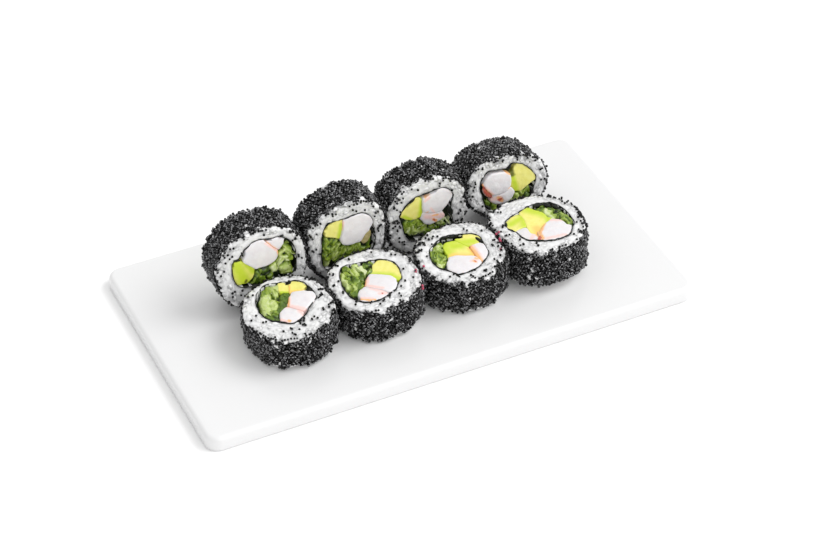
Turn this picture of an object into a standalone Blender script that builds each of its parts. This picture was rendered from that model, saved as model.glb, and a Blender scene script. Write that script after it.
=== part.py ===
"""Uramaki: eight cut pieces of an inside-out roll, resting on a white porcelain plate.

Each piece is built from the outside in: a coat of roe, a ring of rice, a ring of
seaweed, and the fillings that run through it.  A piece is modelled about its own
middle, with its shown cut face towards +Z, and an empty carries it to its place.
The frame's origin is the middle of the plate's underside, X runs along the plate.
"""
import math
from collections import namedtuple

import bmesh
import bpy
from mathutils import Euler, Vector

MM = 0.001

# Plate, in millimetres
PLATE_LENGTH = 260.0
PLATE_DEPTH = 138.0
PLATE_HEIGHT = 8.0
PLATE_CORNER = 7.0
PLATE_EDGE = 2.5
PLATE_FOOT = 1.0
PLATE_CORNER_STEPS = 6
PLATE_EDGE_STEPS = 3

# Build of every roll, in millimetres
GAP = 0.3
COAT = 1.3
SEAWEED = 0.8
RIM_HEIGHT = 1.1
RIM_DRAW = 0.4
RICE_CROWN = 0.5
SQUARENESS = 2.2
RING_STEPS = 26

# Fillings, in millimetres
FILLING_EDGE = 0.6
BACK_INSET = 0.3

SHARP_ANGLE = 40

# Share of its radius by which a ring's outline swells and sinks, by lobes around it
LOBES = ((3, 0.010), (5, 0.008), (8, 0.006))

Ring = namedtuple("Ring", "x y rx ry turn")
Filling = namedtuple("Filling", "kind proud corners")
Roll = namedtuple("Roll", "x y lean side turn half outer seaweed pressed fillings")

# A roll's x and y are its middle on the plate.  lean 0 lies with its cut face up and
# lean 90 stands on its coat with the face to the front.  half is half its thickness.
# pressed gives how far it reaches to the left and right, where a neighbour flattens it.
# The seaweed is given by the corners of its inside, clockwise as seen on the cut face.
# A filling is its height over the face and its own corners, which touch its neighbours'
# before half of GAP is taken off each.
ROLLS = {
    "front_1": Roll(
        -67.2, -18.9, 1, -4.5, 3, 9.5, Ring(0, 0, 22.4, 23.2, 5),
        (
            (-2.5, 19.5), (0.5, 18.5), (5.0, 17.5), (7.5, 15.5), (10.5, 15.6), (13.7, 12.3), (14.8, 7.5),
            (15.2, 3.0), (15.0, -1.2), (12.2, -2.8), (8.8, -4.9), (6.2, -8.0), (2.5, -10.2), (-0.8, -11.2),
            (-4.2, -11.1), (-8.0, -6.6), (-10.8, -4.6), (-12.3, -1.5), (-13.3, 3.4), (-12.9, 7.2),
            (-11.8, 11.3), (-8.4, 16.6), (-5.3, 18.8),
        ),
        (24.0, 21.7),
        (
            Filling("greens", -0.6, (
                (-5.2, 18.0), (-2.5, 18.7), (0.3, 17.7), (2.6, 16.9), (1.1, 13.5), (0.9, 11.0), (4.8, 9.3),
                (2.9, 5.6), (0.9, 2.1), (-0.1, -0.3), (-1.5, 0.7), (-5.7, -1.6), (-7.6, -5.6), (-10.2, -4.0),
                (-11.5, -1.4), (-12.5, 3.3), (-12.1, 7.0), (-11.1, 10.9), (-7.8, 15.9),
            )),
            Filling("avocado_a", -0.5, (
                (2.6, 16.9), (4.6, 16.8), (5.9, 15.3), (6.9, 13.3), (5.6, 10.4), (4.8, 9.3), (0.9, 11.0), (1.1, 13.5),
            )),
            Filling("avocado_b", -0.3, (
                (6.9, 13.3), (8.6, 14.6), (10.6, 14.9), (12.8, 13.2), (14.0, 10.9), (13.9, 8.8), (10.8, 6.3),
                (8.0, 7.6), (4.8, 9.3), (5.6, 10.4),
            )),
            Filling("shrimp_a", 0.6, (
                (6.6, 7.9), (10.7, 6.1), (14.1, 4.0), (14.4, -1.0), (12.0, -2.1), (8.5, -4.1), (5.9, -7.2),
                (3.6, -5.7), (-0.1, -0.3), (0.9, 2.1), (2.9, 5.6),
            )),
            Filling("shrimp_b", 0.3, (
                (-1.5, 0.7), (-0.1, -0.3), (3.6, -5.7), (4.7, -7.4), (2.2, -9.4), (-0.8, -10.4), (-3.9, -10.3),
                (-7.5, -5.8), (-5.7, -1.6),
            )),
        ),
    ),
    "front_2": Roll(
        -21.7, -18.1, 0.5, -3, 0, 9.9, Ring(0, 0, 23.4, 23.2, 3),
        (
            (-10.7, 15.2), (-7.0, 15.4), (-2.4, 14.5), (2.2, 13.3), (6.4, 12.4), (10.4, 10.9), (13.3, 6.9),
            (14.0, 2.3), (13.1, -2.0), (12.3, -5.6), (8.8, -8.0), (6.4, -11.5), (2.4, -13.2), (-1.0, -14.4),
            (-6.2, -14.9), (-9.3, -14.1), (-12.7, -11.8), (-15.0, -8.1), (-15.7, -4.8), (-15.9, 1.0),
            (-14.6, 7.3), (-13.0, 11.6),
        ),
        (22.6, 22.8),
        (
            Filling("greens", 0.2, (
                (-10.3, 14.4), (-7.0, 14.6), (-2.4, 13.8), (2.2, 12.6), (3.4, 10.6), (2.6, 8.4), (-0.4, 3.8),
                (-1.8, 3.5), (-4.6, 0.7), (-6.5, -3.3), (-9.9, -3.9), (-12.4, -7.0), (-12.3, -10.6), (-14.2, -7.9),
                (-14.9, -4.6), (-15.1, 1.0), (-13.9, 7.1), (-12.4, 11.2),
            )),
            Filling("avocado", -0.4, (
                (2.6, 8.4), (3.4, 10.6), (6.3, 11.4), (9.8, 10.1), (12.4, 6.7), (13.2, 2.3), (12.3, -2.4),
                (11.4, -5.4), (8.9, -6.9), (8.2, -2.4), (3.8, 1.0), (-0.4, 3.8),
            )),
            Filling("shrimp_a", 0.7, (
                (-1.8, 3.5), (-0.4, 3.8), (3.8, 1.0), (8.2, -2.4), (8.7, -5.5), (7.9, -8.0), (5.5, -11.1),
                (2.0, -12.5), (-0.3, -9.8), (-4.1, -6.3), (-6.5, -3.3), (-4.6, 0.7),
            )),
            Filling("shrimp_b", 0.4, (
                (-6.5, -3.3), (-4.1, -6.3), (-0.3, -9.8), (2.0, -12.5), (-1.0, -13.7), (-6.2, -14.2),
                (-9.1, -13.3), (-12.1, -11.2), (-12.4, -7.0), (-9.9, -3.9),
            )),
        ),
    ),
    "front_3": Roll(
        24.9, -18.2, 1, -2.5, -1, 10.3, Ring(0, 0, 23.4, 22.4, 0),
        (
            (-4.1, 13.9), (-0.8, 13.7), (2.1, 13.1), (6.4, 11.5), (10.5, 10.0), (13.1, 6.7), (12.7, 2.3),
            (12.4, -2.0), (12.1, -5.7), (10.9, -7.9), (8.0, -10.5), (5.7, -12.0), (2.1, -14.3), (-2.9, -15.0),
            (-8.4, -15.0), (-10.1, -11.5), (-12.1, -8.7), (-14.6, -6.4), (-15.6, -1.0), (-15.0, 3.5),
            (-13.4, 7.7), (-10.1, 10.3), (-6.3, 12.4),
        ),
        (22.8, 21.2),
        (
            Filling("greens", -0.8, (
                (-6.2, 11.5), (-4.6, 12.6), (-4.0, 10.4), (-6.1, 8.8), (-6.8, 6.0), (-7.2, 2.7), (-6.7, -1.0),
                (-7.1, -2.0), (-9.7, -4.0), (-11.1, -6.8), (-11.6, -8.1), (-13.8, -6.0), (-14.8, -1.0),
                (-14.2, 3.4), (-12.7, 7.3), (-9.7, 9.7),
            )),
            Filling("avocado_a", -0.7, (
                (-6.1, 8.8), (-4.0, 10.4), (-2.0, 10.3), (0.9, 9.5), (3.0, 5.5), (4.9, 1.9), (5.1, -0.5),
                (5.1, -6.8), (1.3, -4.6), (-3.5, -1.8), (-6.7, -1.0), (-7.2, 2.7), (-6.8, 6.0),
            )),
            Filling("avocado_b", -1.4, (
                (0.9, 9.5), (4.6, 9.9), (8.4, 9.0), (11.6, 7.2), (11.2, 4.8), (9.6, 2.0), (6.3, 2.0), (4.9, 1.9),
                (3.0, 5.5),
            )),
            Filling("shrimp_a", 0.5, (
                (-3.5, -1.8), (1.3, -4.6), (5.1, -6.8), (5.4, -9.2), (5.1, -11.1), (2.0, -13.4), (-1.2, -14.2),
                (-8.0, -14.2), (-9.6, -11.1), (-11.1, -6.8), (-9.7, -4.0), (-7.1, -2.0),
            )),
            Filling("shrimp_b", 0.2, (
                (4.9, 1.9), (6.3, 2.0), (9.6, 2.0), (11.2, 0.0), (11.6, -3.0), (11.3, -5.6), (8.2, -9.1),
                (6.4, -10.7), (5.4, -9.2), (5.1, -6.8), (5.1, -0.5),
            )),
        ),
    ),
    "front_4": Roll(
        67.5, -17.3, -5, -1, 1, 10.6, Ring(0, 0, 24.0, 25.1, 3),
        (
            (-14.6, 6.6), (-12.6, 9.1), (-9.2, 11.2), (-3.8, 12.7), (0.4, 14.3), (3.8, 15.2), (7.5, 15.4),
            (10.8, 14.3), (14.3, 13.1), (16.8, 8.4), (17.6, 2.2), (17.2, -2.8), (16.3, -9.1), (13.1, -11.8),
            (11.3, -15.0), (8.6, -16.9), (3.3, -17.3), (0.0, -16.9), (-3.5, -15.5), (-6.6, -13.4),
            (-8.7, -11.8), (-10.6, -11.0), (-11.9, -7.4), (-12.3, -2.0), (-13.8, 1.3), (-14.5, 4.2),
        ),
        (20.9, 25.0),
        (
            Filling("avocado_a", -1.3, (
                (-12.9, 7.4), (-8.0, 9.8), (-3.3, 10.2), (-3.8, 6.2), (-5.5, 0.5), (-8.0, 0.6), (-10.3, 0.8),
                (-12.9, 2.4), (-13.5, 5.0),
            )),
            Filling("avocado_b", -0.9, (
                (-2.0, 11.7), (2.2, 13.3), (4.6, 11.2), (7.1, 8.4), (7.7, 4.3), (6.7, -0.6), (4.1, -2.3),
                (0.2, -4.5), (-2.3, -7.2), (-4.0, -9.0), (-6.6, -6.3), (-6.4, -2.8), (-5.5, 0.5), (-3.8, 6.2),
                (-3.3, 10.2),
            )),
            Filling("greens", -1.5, (
                (4.6, 11.2), (4.0, 14.3), (7.4, 14.6), (10.7, 13.5), (13.8, 12.4), (16.1, 8.2), (16.9, 2.2),
                (16.5, -2.8), (15.7, -8.8), (12.8, -11.0), (12.3, -6.2), (11.3, -2.6), (8.3, -1.4), (6.7, -0.6),
                (7.7, 4.3), (7.1, 8.4),
            )),
            Filling("shrimp_a", 0.3, (
                (4.1, -2.3), (8.3, -1.4), (11.3, -2.6), (12.3, -6.2), (12.2, -10.9), (10.4, -14.5), (8.1, -16.1),
                (3.3, -16.5), (0.0, -16.0), (-3.4, -14.5), (-3.9, -11.5), (-3.2, -9.8), (-2.3, -7.2), (0.2, -4.5),
            )),
            Filling("shrimp_b", -0.8, (
                (-8.0, 0.6), (-5.5, 0.5), (-6.4, -2.8), (-6.6, -6.3), (-4.0, -9.0), (-4.1, -11.5), (-6.3, -12.6),
                (-8.2, -11.1), (-9.9, -10.3), (-11.0, -7.2), (-11.3, -2.4), (-10.3, 0.2),
            )),
        ),
    ),
    "back_1": Roll(
        -69.5, 17.5, 85, -1, -1, 9.9, Ring(0, 0, 24.2, 23.0, 6),
        (
            (-10.2, 10.3), (-7.9, 13.1), (-3.6, 16.4), (1.0, 16.5), (5.3, 15.2), (9.5, 15.3), (12.9, 13.3),
            (16.2, 9.9), (17.4, 6.0), (17.7, 0.6), (17.0, -4.4), (15.2, -7.7), (10.3, -9.0), (4.0, -9.5),
            (-1.8, -9.2), (-6.0, -8.8), (-9.5, -8.2), (-13.2, -6.4), (-14.8, -2.7), (-15.2, 1.8), (-14.8, 7.6),
            (-13.3, 8.8), (-11.4, 8.9),
        ),
        (25.0, 23.5),
        (
            Filling("avocado", -0.3, (
                (-13.9, 7.2), (-11.0, 7.7), (-8.8, 5.6), (-6.8, 3.9), (-5.2, 2.0), (-3.8, -1.1), (-5.0, -4.4),
                (-8.5, -6.8), (-12.3, -5.7), (-14.0, -2.6), (-14.3, 2.3),
            )),
            Filling("shrimp_a", 0.4, (
                (-8.9, 9.2), (-7.2, 12.4), (-3.3, 15.5), (-0.6, 15.7), (2.2, 15.1), (4.6, 12.3), (7.8, 8.6),
                (8.9, 7.5), (8.8, 5.0), (7.8, 2.4), (4.4, 0.8), (0.3, 0.3), (-3.0, 0.9), (-6.8, 3.9), (-8.8, 5.6),
            )),
            Filling("shrimp_b", 0.2, (
                (2.2, 15.1), (5.5, 14.3), (9.3, 14.5), (12.3, 12.7), (12.2, 10.8), (9.8, 7.9), (7.8, 8.6), (4.6, 12.3),
            )),
            Filling("greens", -0.8, (
                (12.2, 10.8), (12.3, 12.7), (15.4, 9.5), (16.6, 5.8), (16.9, 0.6), (16.2, -4.1), (14.7, -7.0),
                (10.1, -8.2), (4.0, -8.7), (-1.8, -8.4), (-6.3, -8.0), (-5.0, -4.4), (-3.8, -1.1), (-3.0, 0.9),
                (0.3, 0.3), (4.4, 0.8), (7.8, 2.4), (8.8, 5.0), (8.9, 7.5), (9.8, 7.9),
            )),
        ),
    ),
    "back_2": Roll(
        -23.4, 18.8, 91, -1.5, 0.5, 9.0, Ring(0, 0, 22.4, 24.7, 2),
        (
            (-9.8, 14.4), (-6.6, 14.1), (-2.5, 13.9), (2.9, 14.3), (8.0, 14.2), (11.8, 11.7), (13.6, 7.8),
            (13.7, 4.0), (14.5, -2.2), (14.4, -8.0), (11.6, -12.2), (7.0, -15.0), (2.0, -16.6), (-4.0, -17.0),
            (-9.5, -15.9), (-13.3, -13.0), (-14.3, -7.2), (-14.1, -1.0), (-13.5, 7.0), (-12.6, 10.8),
            (-11.2, 13.2),
        ),
        (21.9, 21.0),
        (
            Filling("avocado", -0.3, (
                (-10.0, 12.8), (-7.4, 13.2), (-2.4, 13.1), (-2.6, 8.2), (-3.8, 3.6), (-4.8, 2.0), (-8.4, 4.3),
                (-12.5, 6.1), (-11.6, 10.0),
            )),
            Filling("shrimp", 0.4, (
                (-2.4, 13.1), (3.2, 13.5), (7.7, 13.4), (11.3, 11.1), (12.7, 7.5), (12.5, 4.0), (9.6, 1.2),
                (7.2, -2.5), (3.8, -3.5), (0.0, -3.4), (-3.2, -2.2), (-4.2, 0.8), (-3.8, 3.6), (-2.6, 8.2),
            )),
            Filling("sliver", -0.4, (
                (9.6, 1.2), (12.7, 1.4), (12.9, -1.8), (11.0, -5.4), (8.4, -6.4), (6.8, -4.2), (7.2, -2.5),
            )),
            Filling("greens", -0.8, (
                (-12.5, 6.1), (-8.4, 4.3), (-4.8, 2.0), (-4.2, 0.8), (-3.2, -2.2), (0.0, -3.4), (3.8, -3.5),
                (6.8, -4.2), (8.4, -6.4), (11.0, -5.4), (12.9, -1.8), (13.6, -7.8), (10.9, -11.7),
                (6.6, -14.3), (1.8, -15.8), (-4.0, -16.2), (-9.1, -15.1), (-12.6, -12.6), (-13.5, -7.2),
                (-13.3, -1.0),
            )),
        ),
    ),
    "back_3": Roll(
        20.3, 21.4, 91, -0.5, 0.5, 9.0, Ring(0, 0, 23.4, 23.2, 8),
        (
            (-14.7, 4.0), (-11.8, 8.3), (-9.3, 11.2), (-5.5, 13.4), (-3.0, 13.2), (0.0, 13.4), (4.5, 14.4),
            (9.5, 14.2), (12.1, 12.5), (14.3, 9.8), (14.9, 7.7), (14.3, 4.8), (13.5, 2.3), (13.7, -1.9),
            (14.4, -6.9), (14.9, -10.3), (11.0, -13.8), (6.0, -15.5), (0.0, -15.8), (-5.0, -15.0),
            (-9.5, -12.9), (-12.1, -7.0), (-12.8, -2.3), (-13.6, 1.0),
        ),
        (21.7, 25.0),
        (
            Filling("avocado", -0.3, (
                (-13.7, 4.0), (-10.9, 7.6), (-6.4, 11.9), (-4.2, 12.4), (-2.1, 10.8), (-2.2, 5.2), (-2.5, 0.5),
                (-4.3, -1.2), (-8.8, -0.8), (-12.0, 1.0),
            )),
            Filling("shrimp_a", 0.4, (
                (-2.1, 10.8), (2.4, 12.5), (7.0, 13.4), (10.8, 12.6), (13.5, 9.7), (13.8, 7.0), (12.6, 4.0),
                (10.6, 1.5), (7.4, -0.1), (3.8, -0.1), (1.2, 1.0), (-1.2, 2.2), (-2.2, 5.2),
            )),
            Filling("shrimp_b", 0.1, (
                (-1.2, 2.2), (1.2, 1.0), (3.8, -0.1), (7.4, -0.1), (9.4, -1.2), (11.0, -3.9), (10.6, -5.6),
                (7.0, -6.4), (2.0, -7.1), (-0.8, -5.9), (-2.4, -3.2), (-2.5, 0.5),
            )),
            Filling("greens", -0.8, (
                (-12.0, 1.0), (-8.8, -0.8), (-4.3, -1.2), (-2.5, 0.5), (-2.4, -3.2), (-0.8, -5.9), (2.0, -7.1),
                (7.0, -6.4), (10.6, -5.6), (12.8, -5.0), (13.6, -7.0), (14.0, -9.9), (10.6, -13.1), (5.8, -14.7),
                (0.0, -15.0), (-4.8, -14.2), (-8.9, -12.3), (-11.3, -6.9), (-12.0, -2.3),
            )),
        ),
    ),
    "back_4": Roll(
        68.9, 28.6, 79, 0, -1, 10.8, Ring(0, 0, 23.4, 17.8, -8),
        (
            (-15.0, 4.4), (-13.5, 7.6), (-10.0, 10.8), (-4.0, 10.0), (0.4, 9.6), (2.8, 11.6), (5.4, 11.2),
            (9.1, 9.5), (12.5, 6.5), (16.1, 1.4), (15.7, -1.8), (14.3, -4.4), (12.7, -8.6), (9.5, -11.2),
            (5.0, -12.7), (0.0, -13.1), (-5.0, -13.0), (-9.5, -12.1), (-12.4, -10.4), (-13.2, -6.6),
            (-14.2, -1.6), (-15.2, 2.0),
        ),
        (25.0, 25.0),
        (
            Filling("shrimp_a", 0.5, (
                (-13.7, 4.4), (-11.7, 7.3), (-8.6, 9.3), (-4.0, 8.8), (-0.2, 7.9), (2.1, 5.0), (2.2, 2.0),
                (1.6, -0.8), (-0.2, -2.4), (-2.7, -3.5), (-6.1, -3.6), (-8.8, -2.6), (-12.0, 0.2),
            )),
            Filling("shrimp_b", 0.2, (
                (-8.8, -2.6), (-6.1, -3.6), (-2.7, -3.5), (-0.2, -2.4), (1.6, -0.8), (3.6, -3.8), (2.8, -7.4),
                (0.2, -8.8), (-4.0, -9.5), (-7.5, -8.8), (-10.5, -6.4),
            )),
            Filling("avocado", -0.3, (
                (2.1, 5.0), (3.4, 8.5), (5.3, 10.2), (8.6, 8.8), (11.7, 5.9), (15.1, 1.3), (14.6, -1.4),
                (10.4, -3.7), (7.3, -5.8), (5.0, -4.6), (3.6, -3.8), (1.6, -0.8), (2.2, 2.0),
            )),
            Filling("greens", -0.8, (
                (5.0, -4.6), (7.3, -5.8), (10.4, -3.7), (13.3, -3.7), (11.9, -8.1), (9.1, -10.4), (4.9, -11.9),
                (0.0, -12.3), (-4.9, -12.2), (-9.2, -11.3), (-11.7, -9.9), (-12.4, -6.6), (-12.9, -3.0),
                (-10.5, -6.4), (-7.5, -8.8), (-4.0, -9.5), (0.2, -8.8), (2.8, -7.4), (3.6, -3.8),
            )),
        ),
    ),
}

# Colour as linear red, green and blue, then roughness
FINISHES = {
    "porcelain": ((0.86, 0.86, 0.87), 0.12),
    "roe": ((0.008, 0.008, 0.009), 0.25),
    "rice": ((0.72, 0.71, 0.69), 0.45),
    "seaweed": ((0.010, 0.012, 0.009), 0.5),
    "shrimp": ((0.82, 0.70, 0.66), 0.4),
    "avocado": ((0.66, 0.66, 0.12), 0.45),
    "sliver": ((0.52, 0.44, 0.20), 0.5),
    "greens": ((0.10, 0.22, 0.03), 0.5),
}


def clear_scene():
    for item in list(bpy.data.objects):
        bpy.data.objects.remove(item, do_unlink=True)


def make_finish(name):
    colour, roughness = FINISHES[name]
    material = bpy.data.materials.new(name)
    material.use_nodes = True
    shader = material.node_tree.nodes["Principled BSDF"]
    shader.inputs["Base Color"].default_value = (*colour, 1.0)
    shader.inputs["Roughness"].default_value = roughness
    shader.inputs["Metallic"].default_value = 0.0
    return material


def superellipse_radius(ring, angle):
    """Distance from the ring's middle to its edge, along a direction."""
    local = angle - math.radians(ring.turn)
    along = abs(math.cos(local) / ring.rx) ** SQUARENESS
    across = abs(math.sin(local) / ring.ry) ** SQUARENESS
    return (along + across) ** (-1.0 / SQUARENESS)


def lobed(radius, angle, seed):
    """A radius that swells and sinks a little around the ring, unlike its neighbours."""
    swell = 0.0
    for lobes, share in LOBES:
        swell += share * math.cos(lobes * angle + seed * lobes)
    return radius * (1.0 + swell)


def ring_loop(ring, inset, height, seed, pressed):
    """A closed loop of points around a ring, drawn in by inset, at one height."""
    loop = []
    for step in range(RING_STEPS):
        angle = 2.0 * math.pi * step / RING_STEPS
        radius = lobed(superellipse_radius(ring, angle), angle, seed) - inset
        x = ring.x + radius * math.cos(angle)
        y = ring.y + radius * math.sin(angle)
        x = min(max(x, inset - pressed[0]), pressed[1] - inset)
        loop.append(Vector((x * MM, y * MM, height * MM)))
    return loop


def reach(loop, way):
    """How far a loop's straight sides are from the middle, along a direction."""
    for step, point in enumerate(loop):
        start = loop[step - 1].xy
        side = point.xy - start
        crossing = way.cross(side)
        if abs(crossing) < 1e-12:
            continue
        far = start.cross(side) / crossing
        if far > 0.0 and 0.0 <= start.cross(way) / crossing <= 1.0:
            return far
    raise ValueError("a loop has to go all round the middle")


def loop_inside(loop, corners, height):
    """Points just inside a loop, one behind each of the clockwise corners."""
    inside = []
    for x, y in reversed(corners):
        way = Vector((x, y)).normalized()
        point = (reach(loop, way) - GAP * MM) * way
        inside.append(Vector((point.x, point.y, height * MM)))
    return inside


def corner_loop(corners, inset, height):
    """Clockwise corners with every side drawn in by inset, the other way round."""
    loop = []
    count = len(corners)
    for step in reversed(range(count)):
        before = (Vector(corners[step]) - Vector(corners[step - 1])).normalized()
        after = (Vector(corners[(step + 1) % count]) - Vector(corners[step])).normalized()
        inward = Vector((before.y + after.y, -before.x - after.x)) / (1.0 + before.dot(after))
        corner = Vector(corners[step]) + inset * inward
        loop.append(Vector((corner.x * MM, corner.y * MM, height * MM)))
    return loop


def bridge(mesh, lower, upper):
    count = len(lower)
    for step in range(count):
        after = (step + 1) % count
        mesh.faces.new((lower[step], lower[after], upper[after], upper[step]))


def add_object(name, mesh, finish, parent, collection):
    bmesh.ops.recalc_face_normals(mesh, faces=mesh.faces[:])
    data = bpy.data.meshes.new(name)
    mesh.to_mesh(data)
    mesh.free()
    data.shade_smooth()
    data.set_sharp_from_angle(angle=math.radians(SHARP_ANGLE))
    data.materials.append(finish)
    item = bpy.data.objects.new(name, data)
    item.parent = parent
    collection.objects.link(item)
    return item


def loft_ring(sections):
    """A closed hoop through loops that go once around its own section."""
    mesh = bmesh.new()
    loops = [[mesh.verts.new(point) for point in section] for section in sections]
    for index, loop in enumerate(loops):
        bridge(mesh, loop, loops[(index + 1) % len(loops)])
    return mesh


def loft_plug(sections):
    """A closed solid through a stack of loops, with a flat face at each end."""
    mesh = bmesh.new()
    loops = [[mesh.verts.new(point) for point in section] for section in sections]
    for lower, upper in zip(loops, loops[1:]):
        bridge(mesh, lower, upper)
    mesh.faces.new(reversed(loops[0]))
    mesh.faces.new(loops[-1])
    return mesh


def make_coat(roll, seed):
    """The roe coat: a thin hoop with its rims rounded over."""
    half = roll.half
    shoulder = half - RIM_HEIGHT
    section = (
        (RIM_DRAW, -half), (0.0, -shoulder), (0.0, shoulder), (RIM_DRAW, half), (COAT, half), (COAT, -half),
    )
    return loft_ring([
        ring_loop(roll.outer, inset, height, seed, roll.pressed) for inset, height in section
    ])


def make_rice(roll, seed):
    """The rice: out to the coat, in to the seaweed, with a slight crown on its face."""
    half = roll.half
    coat = ring_loop(roll.outer, COAT, 0.0, seed, roll.pressed)
    return loft_ring((
        loop_inside(coat, roll.seaweed, -half + RICE_CROWN),
        loop_inside(coat, roll.seaweed, half),
        corner_loop(roll.seaweed, -SEAWEED - GAP, half + RICE_CROWN),
        corner_loop(roll.seaweed, -SEAWEED - GAP, -half),
    ))


def make_seaweed(roll):
    """The seaweed: a thin hoop between the rice and the fillings."""
    half = roll.half
    return loft_ring((
        corner_loop(roll.seaweed, -SEAWEED, -half),
        corner_loop(roll.seaweed, -SEAWEED, half + RICE_CROWN),
        corner_loop(roll.seaweed, 0.0, half + RICE_CROWN),
        corner_loop(roll.seaweed, 0.0, -half),
    ))


def make_filling(filling, roll):
    """One filling, from the back of the roll to just under or over its cut face."""
    face = roll.half + filling.proud
    return loft_plug((
        corner_loop(filling.corners, 0.5 * GAP, BACK_INSET - roll.half),
        corner_loop(filling.corners, 0.5 * GAP, face - FILLING_EDGE),
        corner_loop(filling.corners, 0.5 * GAP + FILLING_EDGE, face),
    ))


def rest_height(roll, points):
    """Height of a roll's middle that leaves its lowest point just above the plate."""
    turn = Euler((math.radians(roll.lean), math.radians(roll.side), math.radians(roll.turn)))
    lowest = min((turn.to_matrix() @ point).z for point in points)
    return (PLATE_HEIGHT + GAP) * MM - lowest


def make_roll(name, roll, seed, finishes, collection):
    coat = make_coat(roll, seed)
    height = rest_height(roll, [vertex.co for vertex in coat.verts])
    carrier = bpy.data.objects.new("roll_" + name, None)
    carrier.location = (roll.x * MM, roll.y * MM, height)
    carrier.rotation_euler = (math.radians(roll.lean), math.radians(roll.side), math.radians(roll.turn))
    collection.objects.link(carrier)
    add_object(name + ".roe", coat, finishes["roe"], carrier, collection)
    add_object(name + ".rice", make_rice(roll, seed), finishes["rice"], carrier, collection)
    seaweed = make_seaweed(roll)
    add_object(name + ".seaweed", seaweed, finishes["seaweed"], carrier, collection)
    for filling in roll.fillings:
        finish = finishes[filling.kind.split("_")[0]]
        solid = make_filling(filling, roll)
        add_object(name + "." + filling.kind, solid, finish, carrier, collection)


def plate_loop(inset, height):
    """A rectangle with round corners, drawn in by inset, at one height."""
    loop = []
    reach_x = 0.5 * PLATE_LENGTH - PLATE_CORNER
    reach_y = 0.5 * PLATE_DEPTH - PLATE_CORNER
    radius = PLATE_CORNER - inset
    for corner, (sign_x, sign_y) in enumerate(((1, 1), (-1, 1), (-1, -1), (1, -1))):
        for step in range(PLATE_CORNER_STEPS + 1):
            angle = 0.5 * math.pi * (corner + step / PLATE_CORNER_STEPS)
            x = sign_x * reach_x + radius * math.cos(angle)
            y = sign_y * reach_y + radius * math.sin(angle)
            loop.append(Vector((x * MM, y * MM, height * MM)))
    return loop


def make_plate(finishes, collection):
    """A plain slab with round corners and a soft edge all round its top."""
    sections = [plate_loop(PLATE_FOOT, 0.0), plate_loop(0.0, PLATE_FOOT)]
    for step in range(PLATE_EDGE_STEPS + 1):
        angle = 0.5 * math.pi * step / PLATE_EDGE_STEPS
        inset = PLATE_EDGE * (1.0 - math.cos(angle))
        height = PLATE_HEIGHT - PLATE_EDGE * (1.0 - math.sin(angle))
        sections.append(plate_loop(inset, height))
    add_object("plate", loft_plug(sections), finishes["porcelain"], None, collection)


def main():
    clear_scene()
    collection = bpy.data.collections.new("uramaki")
    bpy.context.scene.collection.children.link(collection)
    finishes = {name: make_finish(name) for name in FINISHES}
    make_plate(finishes, collection)
    for seed, (name, roll) in enumerate(ROLLS.items()):
        make_roll(name, roll, 2.0 * seed, finishes, collection)


main()
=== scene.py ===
"""Looks for eight cut pieces of uramaki on a white porcelain plate.

The frame gives the plate, and for every piece its rings and fillings.  Each of these is
replaced by a finer one inside the same outline: beads of roe over a dark bed, grains of
rice over a bed of rice, wrinkled seaweed, and fillings with their own cut faces.
A piece is shaped in millimetres about its own middle, with its shown face towards +Z,
and its mesh is then carried to its place.
"""
import math

import bmesh
import bpy
import numpy as np
from mathutils import Matrix, Vector, noise
from mathutils.bvhtree import BVHTree


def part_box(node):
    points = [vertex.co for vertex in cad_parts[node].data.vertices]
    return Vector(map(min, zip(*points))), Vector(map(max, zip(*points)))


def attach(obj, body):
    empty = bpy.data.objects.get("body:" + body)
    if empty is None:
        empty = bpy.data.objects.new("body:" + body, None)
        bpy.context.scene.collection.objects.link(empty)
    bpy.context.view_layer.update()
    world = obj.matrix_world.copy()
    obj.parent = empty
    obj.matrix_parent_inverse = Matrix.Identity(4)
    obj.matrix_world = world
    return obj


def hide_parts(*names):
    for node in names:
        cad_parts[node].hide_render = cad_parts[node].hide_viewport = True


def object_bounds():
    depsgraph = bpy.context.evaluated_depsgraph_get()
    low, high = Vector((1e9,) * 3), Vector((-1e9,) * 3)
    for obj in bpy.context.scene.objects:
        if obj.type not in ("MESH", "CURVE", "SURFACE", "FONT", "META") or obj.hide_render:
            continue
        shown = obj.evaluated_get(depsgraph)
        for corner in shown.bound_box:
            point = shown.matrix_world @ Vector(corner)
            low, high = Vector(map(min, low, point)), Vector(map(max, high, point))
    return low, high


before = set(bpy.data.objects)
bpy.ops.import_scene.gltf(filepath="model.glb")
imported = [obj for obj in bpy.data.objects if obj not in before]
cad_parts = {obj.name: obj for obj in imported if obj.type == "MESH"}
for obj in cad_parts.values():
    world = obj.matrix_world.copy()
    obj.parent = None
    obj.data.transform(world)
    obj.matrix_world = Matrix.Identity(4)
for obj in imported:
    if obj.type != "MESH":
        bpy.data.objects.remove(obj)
CAD_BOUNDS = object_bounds()

MM = 0.001
TURN = 2.0 * math.pi

# Roe, in millimetres
BEAD_RADIUS = 0.74
BEAD_UNEVEN = 0.10
BEAD_PITCH = 1.45
BEAD_JITTER = 0.22
BEAD_SINK = 0.45
BEAD_REACH = 0.4
BEAD_BED = 0.9
BEAD_WOBBLE = 0.5
CLUMP_SIZE = 3.0
CLUMP_LEVEL = 0.16
CLUMP_SHARE = 0.4
RIM_HEIGHT = 1.1
RIM_DRAW = 0.5
RIM_DROP = 2.0
RIM_SPREAD = 3.6
STRAY_BEADS = 7
STRAY_REACH = 1.6
# The most that a stray bead's tone, and so its painted highlight, reaches.
STRAY_TONE = 0.35
STRAY_SHARE = 0.65

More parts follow.
